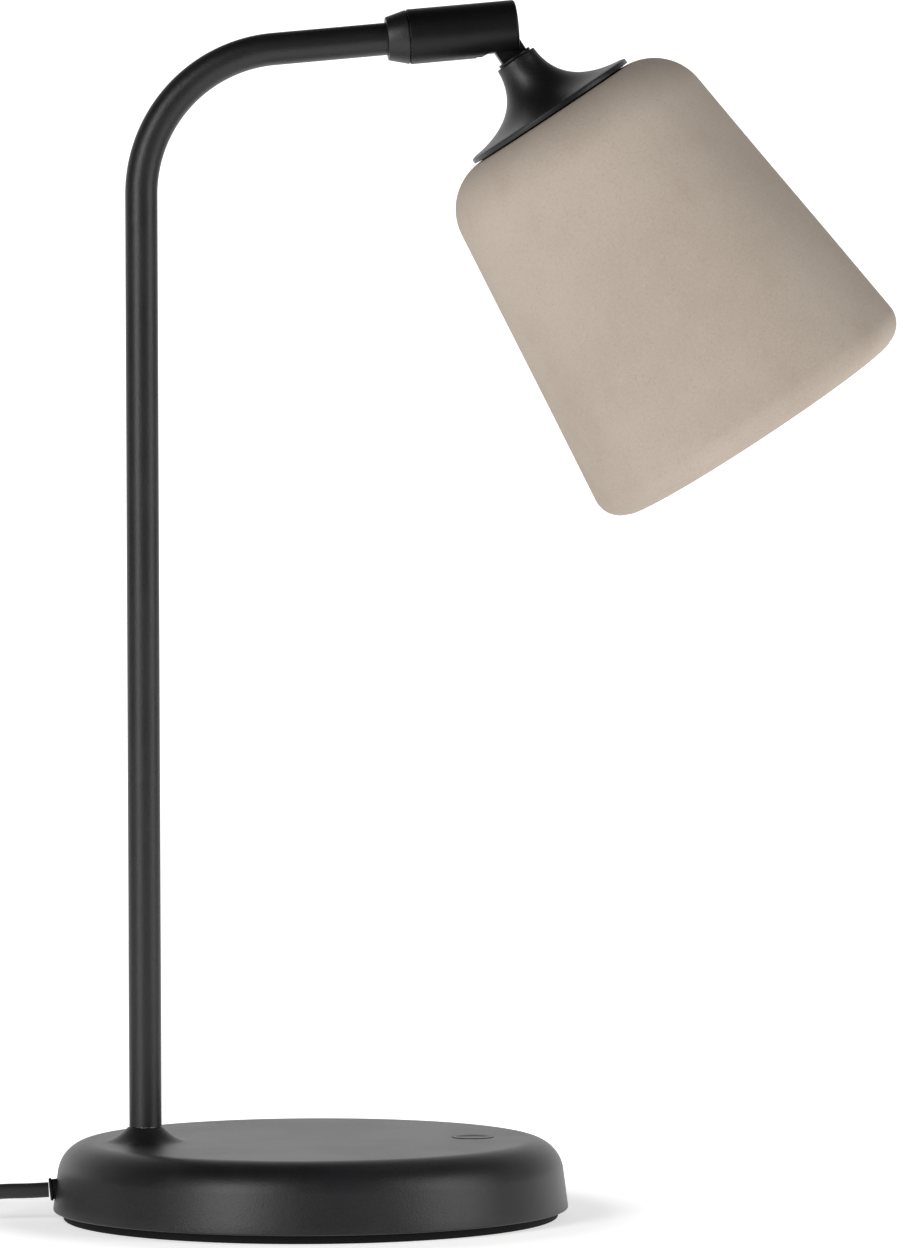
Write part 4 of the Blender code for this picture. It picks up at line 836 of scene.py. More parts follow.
@dataclass
class PowerCord(Part):
    """The free mains cord: its run behind the base, the tied coil and the plug."""

    radius: float = 0.0028
    length: float = 1.8
    coil_at: tuple[float, float] = (-0.173, 0.0392)
    first_ring: float = 0.0293
    lift: float = 0.0014
    turns: float = 7.25
    steps_per_turn: int = 56
    tie_width: float = 0.008
    tie_wall: float = 0.001
    plug_at: tuple[float, float, float] = (-0.1846, 0.1030, 0.0070)
    relief_length: float = 0.018
    plug_length: float = 0.024
    plug_width: float = 0.026
    plug_tail: float = 0.013
    plug_thickness: float = 0.0136
    pin_radius: float = 0.002
    pin_length: float = 0.019
    pin_seat: float = 0.004
    pin_pitch: float = 0.0186

    def coil_point(self, turn: float) -> Vector:
        """A point of the coil: rings lie side by side, then on each other, and cross over behind.

        Args:
            turn: Turns wound so far, clockwise from the side nearest the front.

        Returns:
            The point.
        """
        pitch = 2 * self.radius
        ring, layer, bulge = 2.0, 0.0, 0.0
        for k in range(7):
            shift = ease(turn, k + 0.30, k + 0.62)
            hump = sin(pi * shift) if 0 < shift < 1 else 0.0
            if k in (2, 5):
                layer += shift
                bulge += hump * (-0.38 if k == 2 else 0.38)
            else:
                ring += -shift if k < 2 or k == 6 else shift
        over = ease(turn, 6.80, 7.20)
        radius = self.first_ring + pitch * (ring + over + bulge)
        height = self.lift + self.radius + pitch * (layer + over)
        angle = -pi / 2 - 2 * pi * turn
        return Vector((self.coil_at[0] + radius * cos(angle), self.coil_at[1] + radius * sin(angle), height))

    def route(self) -> list[Vector]:
        """The whole cord from the grommet to the plug's strain relief.

        Returns:
            Evenly spaced points on its centre line.
        """
        run = [
            (-0.0971, 0.0, 0.01128),
            (-0.1045, 0.0, 0.01098),
            (-0.1150, 0.0, 0.01080),
            (-0.1260, 0.0, 0.00960),
            (-0.1380, 0.0, 0.00700),
            (-0.1510, 0.0, 0.00480),
            (-0.1640, 0.0, 0.00425),
        ]
        tail = [
            (-0.2134, 0.0530, 0.0204),
            (-0.2132, 0.0640, 0.0172),
            (-0.2118, 0.0780, 0.0112),
            (-0.2078, 0.0920, 0.0062),
            (-0.2000, 0.1008, 0.0050),
            (-0.1920, 0.1032, 0.0064),
            (-0.1851, 0.1030, 0.0070),
        ]
        first = smooth_line([Vector(p) for p in run] + [self.coil_point(0.0)], 0.003)
        count = round(self.turns * self.steps_per_turn)
        coil = [self.coil_point(self.turns * i / count) for i in range(1, count + 1)]
        last = smooth_line([coil[-1]] + [Vector(p) for p in tail], 0.003)
        return [*first, *coil, *last[1:]]

    def build(self) -> None:
        """Builds the cord, its tie and its plug."""
        line = self.route()
        log.info("cord %.3f m long", length_of(line))
        data = bpy.data.curves.new("mains_cord", "CURVE")
        data.dimensions = "3D"
        data.bevel_depth = self.radius
        data.bevel_resolution = 6
        data.use_fill_caps = True
        spline = data.splines.new("POLY")
        spline.points.add(len(line) - 1)
        for point, place in zip(spline.points, line):
            point.co = (*place, 1)
        spline.use_smooth = True
        cord = bpy.data.objects.new("mains_cord", data)
        bpy.context.scene.collection.objects.link(cord)
        self.own(cord, Body.STAND, Slot.CORD_BLACK, "power_cord", "cord_coil", "plug_cord")
        pieces = [self.build_tie(), self.build_plug(), *self.build_pins()]

    def build_tie(self) -> bpy.types.Object:
        """The strap round the coil's bundle.

        Returns:
            The strap.
        """
        low, high = self.coil_at[0] + 0.0258, self.coil_at[0] + 0.0437
        bottom, top = self.lift - 0.0003, self.lift + 6 * self.radius + 0.0003
        loops = []
        for grown, corner in ((self.tie_wall, 0.0032), (0.0, 0.0024)):
            corners = [
                (low - grown, bottom - grown, corner),
                (high + grown, bottom - grown, corner),
                (high + grown, top + grown, corner),
                (low - grown, top + grown, corner),
            ]
            loops.append(rounded(corners, 5, closed=True)[:-1])
        tie = prism("cord_strap", loops[0], self.tie_width)
        combine(tie, prism("strap_hole", loops[1], self.tie_width * 2))
        lug = block("strap_lug", (high + 0.0004, top - 0.009, -0.003), (high + 0.0028, top - 0.004, 0.003))
        combine(tie, lug, Cut.JOIN)
        soften(tie, 0.0003)
        settle(tie, Matrix.Translation((0, self.coil_at[1], 0)) @ UPRIGHT)
        return self.own(tie, Body.STAND, Slot.BLACK_PLASTIC, "cord_tie")

    def build_plug(self) -> bpy.types.Object:
        """The moulded plug with its ribbed strain relief.

        Returns:
            The plug.
        """
        x, y, z = self.plug_at
        back, front = self.relief_length, self.relief_length + self.plug_length
        half, tail, waist = self.plug_width / 2, self.plug_tail / 2, back + self.plug_length * 0.55
        corners = [
            (back, -tail, 0.0022),
            (waist, -half, 0.006),
            (front, -half, 0.0016),
            (front, half, 0.0016),
            (waist, half, 0.006),
            (back, tail, 0.0022),
        ]
        body = prism("mains_plug", rounded(corners, 6, closed=True)[:-1], self.plug_thickness)
        soften(body, 0.0022, 4, 60)
        profile = [(0.0, -0.0005), (0.0034, -0.0005), (0.0036, 0.0)]
        ribs = 6
        for i in range(ribs):
            start = 0.0008 + i * (self.relief_length - 0.001) / ribs
            radius = 0.0036 + 0.0012 * i / ribs
            profile += [
                (radius, start),
                (radius, start + 0.0017),
                (radius - 0.0007, start + 0.0020),
                (radius - 0.0007, start + 0.0026),
            ]
        inside = self.relief_length + 0.002
        profile += [(0.0048, self.relief_length), (0.0048, inside), (0, inside)]
        relief = turned("plug_relief", profile, 48)
        settle(relief, Matrix.Rotation(pi / 2, 4, "Y"))
        combine(body, relief, Cut.JOIN)
        for side in (-1, 1):
            offset = side * self.pin_pitch / 2
            start, end = (front - self.pin_seat - GAP, offset, 0), (front + 0.002, offset, 0)
            combine(body, bar("pin_seat", start, end, self.pin_radius + GAP))
        for side in (-1, 1):
            for i in range(4):
                low = (back + 0.007 + i * 0.0028, -half, side * self.plug_thickness / 2 - 0.0004)
                far = (low[0] + 0.0011, 0.0065, low[2] + 0.0008)
                groove = block("grip_groove", (low[0], -0.0065, low[2]), far)
                combine(body, groove)
        settle(body, Matrix.Translation((x, y, z)), 30)
        return self.own(body, Body.STAND, Slot.BLACK_PLASTIC, "plug_body")

    def build_pins(self) -> list[bpy.types.Object]:
        """The plug's two round pins, half sleeved.

        Returns:
            The pins.
        """
        x, y, z = self.plug_at
        front = self.relief_length + self.plug_length
        total = self.pin_seat + self.pin_length
        pins = []
        for i, side in enumerate((-1, 1), 1):
            radius = self.pin_radius
            corners = [
                (0, 0, 0),
                (radius, 0, 0.0003),
                (radius, total - 0.0095, 0.0001),
                (radius - 0.0002, total - 0.0093, 0.0001),
                (radius - 0.0002, total, 0.0012),
                (0, total, 0),
            ]
            pin = turned(f"plug_pin_{'ab'[i - 1]}", rounded(corners), 48)
            start = Matrix.Translation((x + front - self.pin_seat, y + side * self.pin_pitch / 2, z))
            settle(pin, start @ Matrix.Rotation(pi / 2, 4, "Y"))
            pins.append(self.own(pin, Body.STAND, Slot.BRASS, f"plug_pin_{i}"))
        return pins


@dataclass
class Stand(Part):
    """The weighted base with its foot pad, cord grommet and bent pole."""

    pad_radius: float = 0.0917
    pad_thickness: float = 0.003
    radius: float = 0.0955
    bottom: float = 0.0033
    top: float = 0.0289
    flare: float = radians(7.1)
    fillet: float = 0.0128
    wall: float = 0.003
    post_circle: float = 0.0833
    post_radius: float = 0.0039
    boss_height: float = 0.0052
    boss_top_radius: float = 0.0065
    boss_foot_radius: float = 0.0156
    boss_curve: float = 1.8
    nipple_hole: float = 0.005
    pole_x: float = -0.0612
    pole_radius: float = 0.006
    pole_wall: float = 0.001
    pole_straight: float = 0.3442
    bend_radius: float = 0.054
    arm_rise: float = radians(5.2)
    arm_straight: float = 0.050
    tube_end: float = -0.00345
    cord_exit_height: float = 0.0116
    cord_droop: float = radians(6)

    @property
    def pole_foot(self) -> float:
        """Height of the tube's foot on the boss."""
        return self.top + self.boss_height + GAP

    @property
    def bend(self) -> float:
        """Angle that the pole turns through."""
        return pi / 2 - self.arm_rise

    @property
    def arm(self) -> Vector:
        """Direction of the arm."""
        return Vector((cos(self.arm_rise), 0, sin(self.arm_rise)))

    @property
    def seam(self) -> Vector:
        """Where the arm's axis crosses the swivel seam.

        Returns:
            The point on the axis.
        """
        x = self.pole_x + self.bend_radius * (1 - cos(self.bend))
        z = self.pole_foot + self.pole_straight + self.bend_radius * sin(self.bend)
        return Vector((x, 0, z)) + self.arm * self.arm_straight

    @property
    def arm_frame(self) -> Matrix:
        """The frame with its Z along the arm."""
        return Matrix.Translation(self.seam) @ Matrix.Rotation(self.bend, 4, "Y")

    def wall_radius(self, height: float, inset: float = 0.0) -> float:
        """Radius of the side wall at a height, or of a surface set in from it."""
        return self.radius - (height - self.bottom) * tan(self.flare) - inset / cos(self.flare)

    def build(self, button_x: float, button_hole: float) -> None:
        """Builds every piece of the stand.

        Args:
            button_x: Where the dimmer button's axis is.
            button_hole: Radius of its hole.
        """
        self.build_pad()
        self.build_shell(button_x, button_hole)
        self.build_grommet()
        self.build_pole()

    def build_pad(self) -> None:
        """The rubber foot pad, with a rounded edge and a shallow ring groove underneath."""
        corners = [
            (0, 0, 0),
            (self.pad_radius - 0.012, 0, 0.0001),
            (self.pad_radius - 0.0116, 0.0004, 0.0001),
            (self.pad_radius - 0.0096, 0.0004, 0.0001),
            (self.pad_radius - 0.0092, 0, 0.0001),
            (self.pad_radius, 0, 0.0007),
            (self.pad_radius, self.pad_thickness, 0.0003),
            (0, self.pad_thickness, 0),
        ]
        pad = turned("rubber_foot", rounded(corners), 192)
        settle(pad, Matrix.Identity(4))
        self.own(pad, Body.STAND, Slot.RUBBER, "foot_pad")

    def build_shell(self, button_x: float, button_hole: float) -> None:
        """The cast base: side wall, flat top with its flared boss, button hole and screw posts.

        Args:
            button_x: Where the button stands.
            button_hole: Radius of its hole.
        """
        height = self.top - self.fillet
        reach = (self.fillet + sin(self.flare) * (height - self.bottom)) / cos(self.flare)
        middle = (self.radius - reach, height)
        ceiling = self.top - self.wall
        guard = 0.0005
        foot = self.wall_radius(self.bottom, self.wall)
        edge = rounded(
            [
                (self.wall_radius(self.bottom + 0.004), self.bottom + 0.004, 0),
                (self.radius, self.bottom, 0.0006),
                (foot, self.bottom, 0.0002),
                (self.wall_radius(self.bottom + 0.004, self.wall), self.bottom + 0.004, 0),
            ]
        )
        skin = [
            (middle[0] - guard, self.top),
            *arc(middle, self.fillet, pi / 2, self.flare, 20),
            *edge,
            *arc(middle, self.fillet - self.wall, self.flare, pi / 2, 10),
            (middle[0] - guard, ceiling),
        ]
        shell = turned("cast_base", skin, 224)

        top = self.top + self.boss_height
        flare = []
        for i in range(23):
            out = (i / 22) ** 1.25
            radius = self.boss_top_radius + (self.boss_foot_radius - self.boss_top_radius) * out
            flare.append((radius, self.top + self.boss_height * (1 - out) ** self.boss_curve))
        bore = self.nipple_hole
        lip = rounded([(bore, top - 0.002, 0), (bore, top, 0.0002), (*flare[0], 0.0003), (*flare[2], 0)])
        outer = (self.boss_foot_radius + guard, self.top)
        boss = turned("boss", [(bore + guard, ceiling), (bore, ceiling), *lip, *flare[3:], outer], 96)
        settle(boss, Matrix.Translation((self.pole_x, 0, 0)))
        lip = rounded(
            [
                (button_hole + guard + 0.001, ceiling, 0),
                (button_hole, ceiling, 0),
                (button_hole, self.top, 0.00035),
                (button_hole + 0.002, self.top, 0),
            ]
        )
        hole = turned("hole", lip, 96)
        settle(hole, Matrix.Translation((button_x, 0, 0)))
        join_meshes(shell, [boss, hole])
        fill_rims(shell, self.top)
        fill_rims(shell, ceiling)
        tidy(shell)

        depth = 0.022
        along = Vector((-cos(self.cord_droop), 0, -sin(self.cord_droop)))
        inside, outside = self.grommet_at - along * depth, self.grommet_at + along * 0.01
        combine(shell, bar("cord_hole", inside, outside, 0.0040))
        posts = []
        for i in range(4):
            low, pilot = 0.0051, 0.0016
            profile = rounded(
                [
                    (pilot, low, 0.0002),
                    (self.post_radius, low, 0.0003),
                    (self.post_radius, ceiling - 0.001, 0.001),
                    (self.post_radius + 0.001, ceiling + 0.0004, 0),
                    (pilot, ceiling + 0.0004, 0),
                ],
                closed=True,
            )
            post = turned(f"screw_post_{i + 1}", profile, 40)
            turn = pi / 4 + pi / 2 * i
            settle(post, Matrix.Translation((self.post_circle * cos(turn), self.post_circle * sin(turn), 0)))
            posts.append(post)
        join_meshes(shell, posts)
        settle(shell, Matrix.Identity(4))
        self.own(shell, Body.STAND, Slot.BLACK_PAINT, "base_shell")

    @property
    def grommet_at(self) -> Vector:
        """Where the cord's axis leaves the side wall."""
        return Vector((-self.wall_radius(self.cord_exit_height), 0, self.cord_exit_height))

    def build_grommet(self) -> None:
        """The moulded rubber grommet: two lips with a waist between them."""
        flange, bore = 0.0023, 0.0031
        back = -0.0036
        corners = [
            (bore, flange, 0.0003),
            (0.0042, flange, 0.0004),
            (0.0042, 0.0013, 0.0002),
            (0.0037, 0.0013, 0.0001),
            (0.0037, back, 0.0001),
            (0.0049, back, 0.0003),
            (0.0049, back - 0.0012, 0.0003),
            (bore, back - 0.0012, 0.0002),
        ]
        grommet = turned("rubber_grommet", rounded(corners, 4, closed=True), 64)
        lean = Matrix.Rotation(-(pi / 2 + self.cord_droop), 4, "Y")
        settle(grommet, Matrix.Translation(self.grommet_at) @ lean)
        self.own(grommet, Body.STAND, Slot.RUBBER, "cord_grommet")

    def build_pole(self) -> None:
        """The bent tube, drawn out from its foot, and the cone at the end of the arm."""
        deselect()
        foot = (self.pole_x, 0, self.pole_foot)
        bpy.ops.mesh.primitive_circle_add(vertices=96, radius=self.pole_radius, location=foot)
        pole = bpy.context.active_object
        pole.name = pole.data.name = "bent_tube"
        bpy.ops.object.transform_apply(location=True, rotation=True, scale=True)
        bpy.ops.object.mode_set(mode="EDIT")
        bpy.ops.mesh.select_mode(type="EDGE")
        bpy.ops.mesh.select_all(action="SELECT")
        bpy.ops.mesh.extrude_region_move(TRANSFORM_OT_translate={"value": (0, 0, self.pole_straight)})
        middle = (self.pole_x + self.bend_radius, 0, self.pole_foot + self.pole_straight)
        bpy.ops.mesh.spin(steps=56, angle=-self.bend, center=middle, axis=(0, 1, 0))
        reach = self.arm * (self.arm_straight + self.tube_end)
        bpy.ops.mesh.extrude_region_move(TRANSFORM_OT_translate={"value": tuple(reach)})
        tidy(pole)
        wall = pole.modifiers.new("Wall", "SOLIDIFY")
        wall.thickness = self.pole_wall
        wall.offset = -1
        pick(pole)
        bpy.ops.object.modifier_apply(modifier=wall.name)
        settle(pole, Matrix.Identity(4))
        self.own(pole, Body.STAND, Slot.BLACK_PAINT, "pole_tube")

        face, large, small, length, web, bore = -0.00015, 0.0101, 0.0080, 0.0078, 0.00285, 0.0035
        corners = [
            (large, face, 0.0004),
            (small, face - length, 0.0005),
            (self.pole_radius + GAP, face - length, 0.0001),
            (self.pole_radius + GAP, face - web, 0),
            (bore, face - web, 0),
            (bore, face, 0.0001),
        ]
        collar = turned("arm_cone", rounded(corners, 5, closed=True), 128)
        pin_out = 0.00795
        combine(collar, bar("pin_hole", (-pin_out, 0, face - web + 0.0005), (-pin_out, 0, 0.002), 0.001))
        settle(collar, self.arm_frame)
        self.own(collar, Body.STAND, Slot.BLACK_PAINT, "arm_collar")


@dataclass
class Dimmer(Part):
    """The flush push button in the base's top."""

    button_x: float = 0.0604
    radius: float = 0.0075
    flange: float = 0.0016
    stem_radius: float = 0.0025
    proud: float = 0.00022
    travel: float = 0.0012
    coil: float = 0.0045
    wire: float = 0.0003
    turns: int = 5

    def build(self, top: float, wall: float) -> None:
        """Builds the button, slightly dished and soft at its edge, and its spring.

        Args:
            top: Height of the base's top.
            wall: Thickness of the base's wall.
        """
        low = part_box("button_cap")[0]
        flange_top = top - wall - GAP
        face = top + self.proud
        corners = [
            (0, low.z, 0),
            (self.stem_radius, low.z, 0.0003),
            (self.stem_radius, flange_top - self.flange, 0),
            (self.radius + self.flange, flange_top - self.flange, 0.0002),
            (self.radius + self.flange, flange_top, 0.0002),
            (self.radius, flange_top, 0),
            (self.radius, face, 0.0002),
            (self.radius - 0.0009, face, 0.0004),
            (self.radius - 0.0027, face - 0.00034, 0.0008),
            (0, face - 0.00042, 0),
        ]
        button = turned("push_button", rounded(corners), 128)
        settle(button, Matrix.Translation((self.button_x, 0, 0)))
        self.own(button, Body.BUTTON, Slot.BLACK_PAINT, "button_cap")
        self.build_spring()

    def build_spring(self) -> None:
        """The wound spring under the flange, with the button's travel left free below it."""
        low, high = (corner.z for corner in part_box("button_spring"))
        low += self.travel
        deselect()
        bpy.ops.mesh.primitive_circle_add(
            vertices=10, radius=self.wire, location=(self.coil, 0, low + self.wire), rotation=(pi / 2, 0, 0)
        )
        spring = bpy.context.active_object
        spring.name = spring.data.name = "wound_spring"
        bpy.ops.object.transform_apply(location=True, rotation=True, scale=True)
        wind = spring.modifiers.new("wind", "SCREW")
        wind.screw_offset = (high - low - 2 * self.wire) / self.turns
        wind.iterations = self.turns
        wind.steps = wind.render_steps = 28
        bpy.ops.object.modifier_apply(modifier=wind.name)
        edit(spring)
        bpy.ops.mesh.fill_holes(sides=12)
        bpy.ops.mesh.normals_make_consistent(inside=False)
        bpy.ops.object.mode_set(mode="OBJECT")
        settle(spring, Matrix.Translation((self.button_x, 0, 0)))
        self.own(spring, Body.BUTTON, Slot.ZINC_STEEL, "button_spring")


@dataclass
class Swivel(Part):
    """The slotted joint cylinder that turns on the arm, with its tilt screw."""

    arm_frame: Matrix
    radius: float = 0.0102
    rear: float = 0.00015
    length: float = 0.0405
    edge: float = 0.001
    pivot: float = 0.0327
    slot_start: float = 0.0245
    slot_half: float = 0.0031
    bridge: float = 0.0032
    flat_depth: float = 0.0015
    flat_start: float = 0.0258
    flat_ramp: float = 0.0037
    hub_end: float = 0.00865
    hub_radius: float = 0.0067
    bore: float = 0.0022
    pin_radius: float = 0.002
    head_radius: float = 0.0036
    head_low: float = 0.0069
    head_high: float = 0.0089

    def build(self) -> None:
        """Builds the joint cylinder and the tilt screw."""
        self.build_housing()
        self.build_screw()

    def build_housing(self) -> None:
        """Turns the cylinder, then mills its slot, its lower flat and the screw's seat."""
        recess = self.radius - 0.0013
        seat = self.hub_radius + GAP
        corners = [
            (0, self.length, 0),
            (self.radius, self.length, self.edge),
            (self.radius, self.rear, 0.0003),
            (recess, self.rear, 0.0001),
            (recess, self.rear + 0.00185, 0),
            (seat, self.rear + 0.00185, 0),
            (seat, self.hub_end + GAP, 0),
            (self.bore, self.hub_end + GAP, 0),
            (self.bore, self.slot_start + 0.001, 0),
            (0, self.slot_start + 0.001, 0),
        ]
        housing = turned("joint_cylinder", rounded(corners, 6), 144)
        low = (-(self.radius - self.bridge), -self.slot_half, self.slot_start)
        combine(housing, block("slot", low, (self.radius + 0.002, self.slot_half, self.length + 0.002)))
        depth = self.radius - self.flat_depth
        over = 0.001
        start = self.flat_start - over * self.flat_ramp / self.flat_depth
        outline = [
            (self.radius + over, start),
            (depth, self.flat_start + self.flat_ramp),
            (depth, self.length + 0.002),
            (self.radius + 0.003, self.length + 0.002),
            (self.radius + 0.003, start),
        ]
        flat = prism("flat", outline, 0.03)
        settle(flat, UPRIGHT)
        combine(housing, flat)
        outside = (0, self.radius + 0.002, self.pivot)
        combine(housing, bar("screw_bore", (0, -0.0077, self.pivot), outside, self.pin_radius + GAP))
        combine(housing, bar("screw_seat", (0, 0.0058, self.pivot), outside, self.head_radius + GAP, 64))
        soften(housing, 0.00018, 2, 40)
        settle(housing, self.arm_frame)
        self.own(housing, Body.SWIVEL, Slot.JOINT_BLACK, "joint_housing")

    def build_screw(self) -> None:
        """The shoulder screw with its hexagon socket, and the spring washer under its head."""
        corners = [
            (0, -0.0074, 0),
            (self.pin_radius, -0.0074, 0.0002),
            (self.pin_radius, self.head_low, 0),
            (self.head_radius, self.head_low, 0.0002),
            (self.head_radius, self.head_high, 0.0005),
            (0, self.head_high, 0),
        ]
        screw = turned("socket_screw", rounded(corners), 80)
        floor, mouth = (0, 0, self.head_high - 0.0012), (0, 0, self.head_high + 0.001)
        combine(screw, bar("socket", floor, mouth, 0.0014, 6))
        about_y = self.arm_frame @ Matrix.Translation((0, 0, self.pivot)) @ Matrix.Rotation(-pi / 2, 4, "X")
        settle(screw, about_y)
        self.own(screw, Body.SWIVEL, Slot.ZINC_STEEL, "tilt_screw")
        low, hole = 0.0061, self.pin_radius + GAP
        ring = [
            (hole, low, 0.0001),
            (self.head_radius, low, 0.0001),
            (self.head_radius, low + 0.0005, 0.0001),
            (hole, low + 0.0005, 0.0001),
        ]
        washer = turned("spring_washer", rounded(ring, 3, closed=True), 64)
        settle(washer, about_y)
        self.own(washer, Body.SWIVEL, Slot.ZINC_STEEL, "tilt_spring_washer")


@dataclass
class Head(Part):
    """Everything that tilts: the tongue, the trumpet cap, the cast shade, the lampholder and the bulb."""

    pivot: Vector
    lean: float = radians(33.5)
    tongue_width: float = 0.0104
    tongue_thickness: float = 0.0056
    neck_top: float = 0.0132846
    disc_thickness: float = 0.0011
    disc_radius: float = 0.00665
    disc_seat: float = 0.00004
    stub_radius: float = 0.0037
    cap_height: float = 0.0245
    cap_top_radius: float = 0.00795
    cap_flange_radius: float = 0.0339
    cap_wall: float = 0.002
    cap_band: float = 0.0012
    cap_gap: float = 0.0011
    cap_lip: float = 0.0005
    shade_flat: float = 0.0314
    shoulder: float = 0.0213
    taper: float = radians(6.7)
    height: float = 0.1395
    rim: float = 0.0096
    wall: float = 0.0078
    top_wall: float = 0.009
    shade_hole: float = 0.015
    holder_radius: float = 0.0136

    @property
    def frame(self) -> Matrix:
        """The head's frame at the tilt pivot."""
        return Matrix.Translation(self.pivot) @ Matrix.Rotation(-self.lean, 4, "Y")

    @property
    def shade_frame(self) -> Matrix:
        """The same frame moved down to the shade's top."""
        return self.frame @ Matrix.Translation((0, 0, -(self.neck_top + self.cap_height)))

    def build(self) -> None:
        """Builds every piece of the head."""
        self.build_tongue()
        self.build_cap()
        self.build_shade()
        self.build_holder()
        self.build_bulb()

    def build_tongue(self) -> None:
        """The flat tongue on its disc and stub."""
        half = self.tongue_width / 2
        disc_top = -(self.neck_top - self.disc_seat - self.disc_thickness)
        outline = [*arc((0, 0), half, 0, pi, 40), (-half, disc_top - 0.0004), (half, disc_top - 0.0004)]
        tongue = prism("tongue", outline, self.tongue_thickness)
        soften(tongue, 0.0003, 3, 50)
        settle(tongue, UPRIGHT)
        stub_end = -(self.neck_top + self.cap_height) + 0.0118 - 0.0038 + GAP
        disc_low = disc_top - self.disc_thickness
        corners = [
            (0, disc_top, 0),
            (self.disc_radius, disc_top, 0.0003),
            (self.disc_radius, disc_low, 0.0003),
            (self.stub_radius, disc_low, 0),
            (self.stub_radius, stub_end, 0.0004),
            (0, stub_end, 0),
        ]
        combine(tongue, turned("tongue_foot", rounded(corners), 96), Cut.JOIN)
        combine(tongue, bar("pin_hole", (0, -0.006, 0), (0, 0.006, 0), 0.0023))
        turn_off = -(half + 0.004)
        combine(tongue, bar("lead_bore", (0, 0, stub_end - 0.001), (0, 0, turn_off), 0.0016, 24))
        middle, side = (0.0004, 0, turn_off - 0.0003), (-half - 0.002, 0, turn_off + half)
        combine(tongue, bar("side_bore", middle, side, 0.0016, 24))
        settle(tongue, self.frame)
        self.own(tongue, Body.HEAD, Slot.JOINT_BLACK, "tilt_tongue")

    def build_cap(self) -> None:
        """The trumpet-shaped metal cap over the shade, and the gasket in its shadow gap."""
        top_radius, height = self.cap_top_radius, self.cap_height
        edge_z = self.cap_gap + self.cap_band
        curve = bezier(
            Vector((top_radius, height)),
            Vector((top_radius + 0.0006, height * 0.465)),
            Vector((self.cap_flange_radius * 0.505, height * 0.172)),
            Vector((self.cap_flange_radius - 0.0006, edge_z + 0.0004)),
            44,
        )
        hollow_top = height - 0.0062
        outer = [tuple(p) for p in curve]
        inner = []
        for before, here, after in zip(curve, curve[1:], curve[2:]):
            along = (after - before).normalized()
            r, z = here.x + along.y * self.cap_wall, here.y - along.x * self.cap_wall
            if self.cap_gap + GAP < z < hollow_top - 0.0008:
                inner.append((r, z))
        bore = self.stub_radius + GAP
        head = rounded(
            [(bore, height - 0.003, 0), (bore, height, 0.0002), (top_radius, height, 0.0005), (*outer[3], 0)]
        )
        band = rounded(
            [
                (*outer[-2], 0),
                (self.cap_flange_radius, edge_z, 0.0004),
                (self.cap_flange_radius, self.cap_lip, 0.0002),
                (self.cap_flange_radius - 0.0014, self.cap_lip, 0),
                (self.cap_flange_radius - 0.0014, self.cap_gap, 0),
                (inner[-1][0] + 0.001, self.cap_gap, 0),
            ]
        )
        hollow = [(inner[0][0] - 0.0004, hollow_top), (bore, hollow_top)]
        profile = [*head, *outer[4:-2], *band, *reversed(inner), *hollow, head[0]]
        cap = turned("trumpet_cap", profile, 176)
        settle(cap, self.shade_frame, 40)
        self.own(cap, Body.HEAD, Slot.BLACK_PAINT, "shade_cap")
        inside, outside, top = 0.0215, 0.0322, self.cap_gap - GAP
        ring = [(inside, GAP, 0.0001), (outside, GAP, 0.0002), (outside, top, 0.0002), (inside, top, 0.0001)]
        gasket = turned("ring_gasket", rounded(ring, 3, closed=True), 160)
        settle(gasket, self.shade_frame)
        self.own(gasket, Body.HEAD, Slot.RUBBER, "shade_gasket")

    def build_shade(self) -> None:
        """The thick cast shade: round shoulder, slight flare and rolled lower rim."""
        slope, lean = tan(self.taper), cos(self.taper)
        shoulder = arc((self.shade_flat, -self.shoulder), self.shoulder, pi / 2, self.taper, 28)
        r, z = shoulder[-1]
        rim_z = -self.height + self.rim
        rim_r = r + (z - rim_z) * slope - self.rim / lean
        rim = arc((rim_r, rim_z), self.rim, self.taper, -pi / 2, 18)
        side = [(r + (rim[0][0] - r) * i / 24, z + (rim[0][1] - z) * i / 24) for i in range(1, 24)]
        shift = self.wall / lean
        low_r = r + (z + self.height) * slope - shift
        ceiling = -self.top_wall
        fillet = self.shoulder - self.wall
        high_r = r + (z - ceiling) * slope - shift
        middle = (high_r - fillet * (1 - sin(self.taper)) / lean, ceiling - fillet)
        inner = arc(middle, fillet, self.taper, pi / 2, 14)
        lip = rounded([(rim[-1][0], -self.height, 0), (low_r, -self.height, 0.0011), (*inner[0], 0)])
        bore = self.shade_hole
        hole = rounded([(*inner[-1], 0), (bore, ceiling, 0.0004), (bore, 0, 0.0008), (bore + 0.004, 0, 0)])
        profile = [*hole[1:], *shoulder, *side, *rim[:-1], *lip[:-1], *inner, hole[1]]
        shade = turned("cast_shade", profile, 208)
        for vertex in shade.data.vertices:
            x, y, level = vertex.co
            turn = atan2(y, x)
            wave = 0.6 * sin(2 * turn + 40 * level + 0.7) + 0.4 * sin(5 * turn - 70 * level + 2.1)
            swell = 0.00009 * wave * ease(-level, 0.004, 0.030)
            out = hypot(x, y)
            vertex.co.x += x / out * swell
            vertex.co.y += y / out * swell
        settle(shade, self.shade_frame, 45)
        self.own(shade, Body.HEAD, Slot.CONCRETE, "shade")

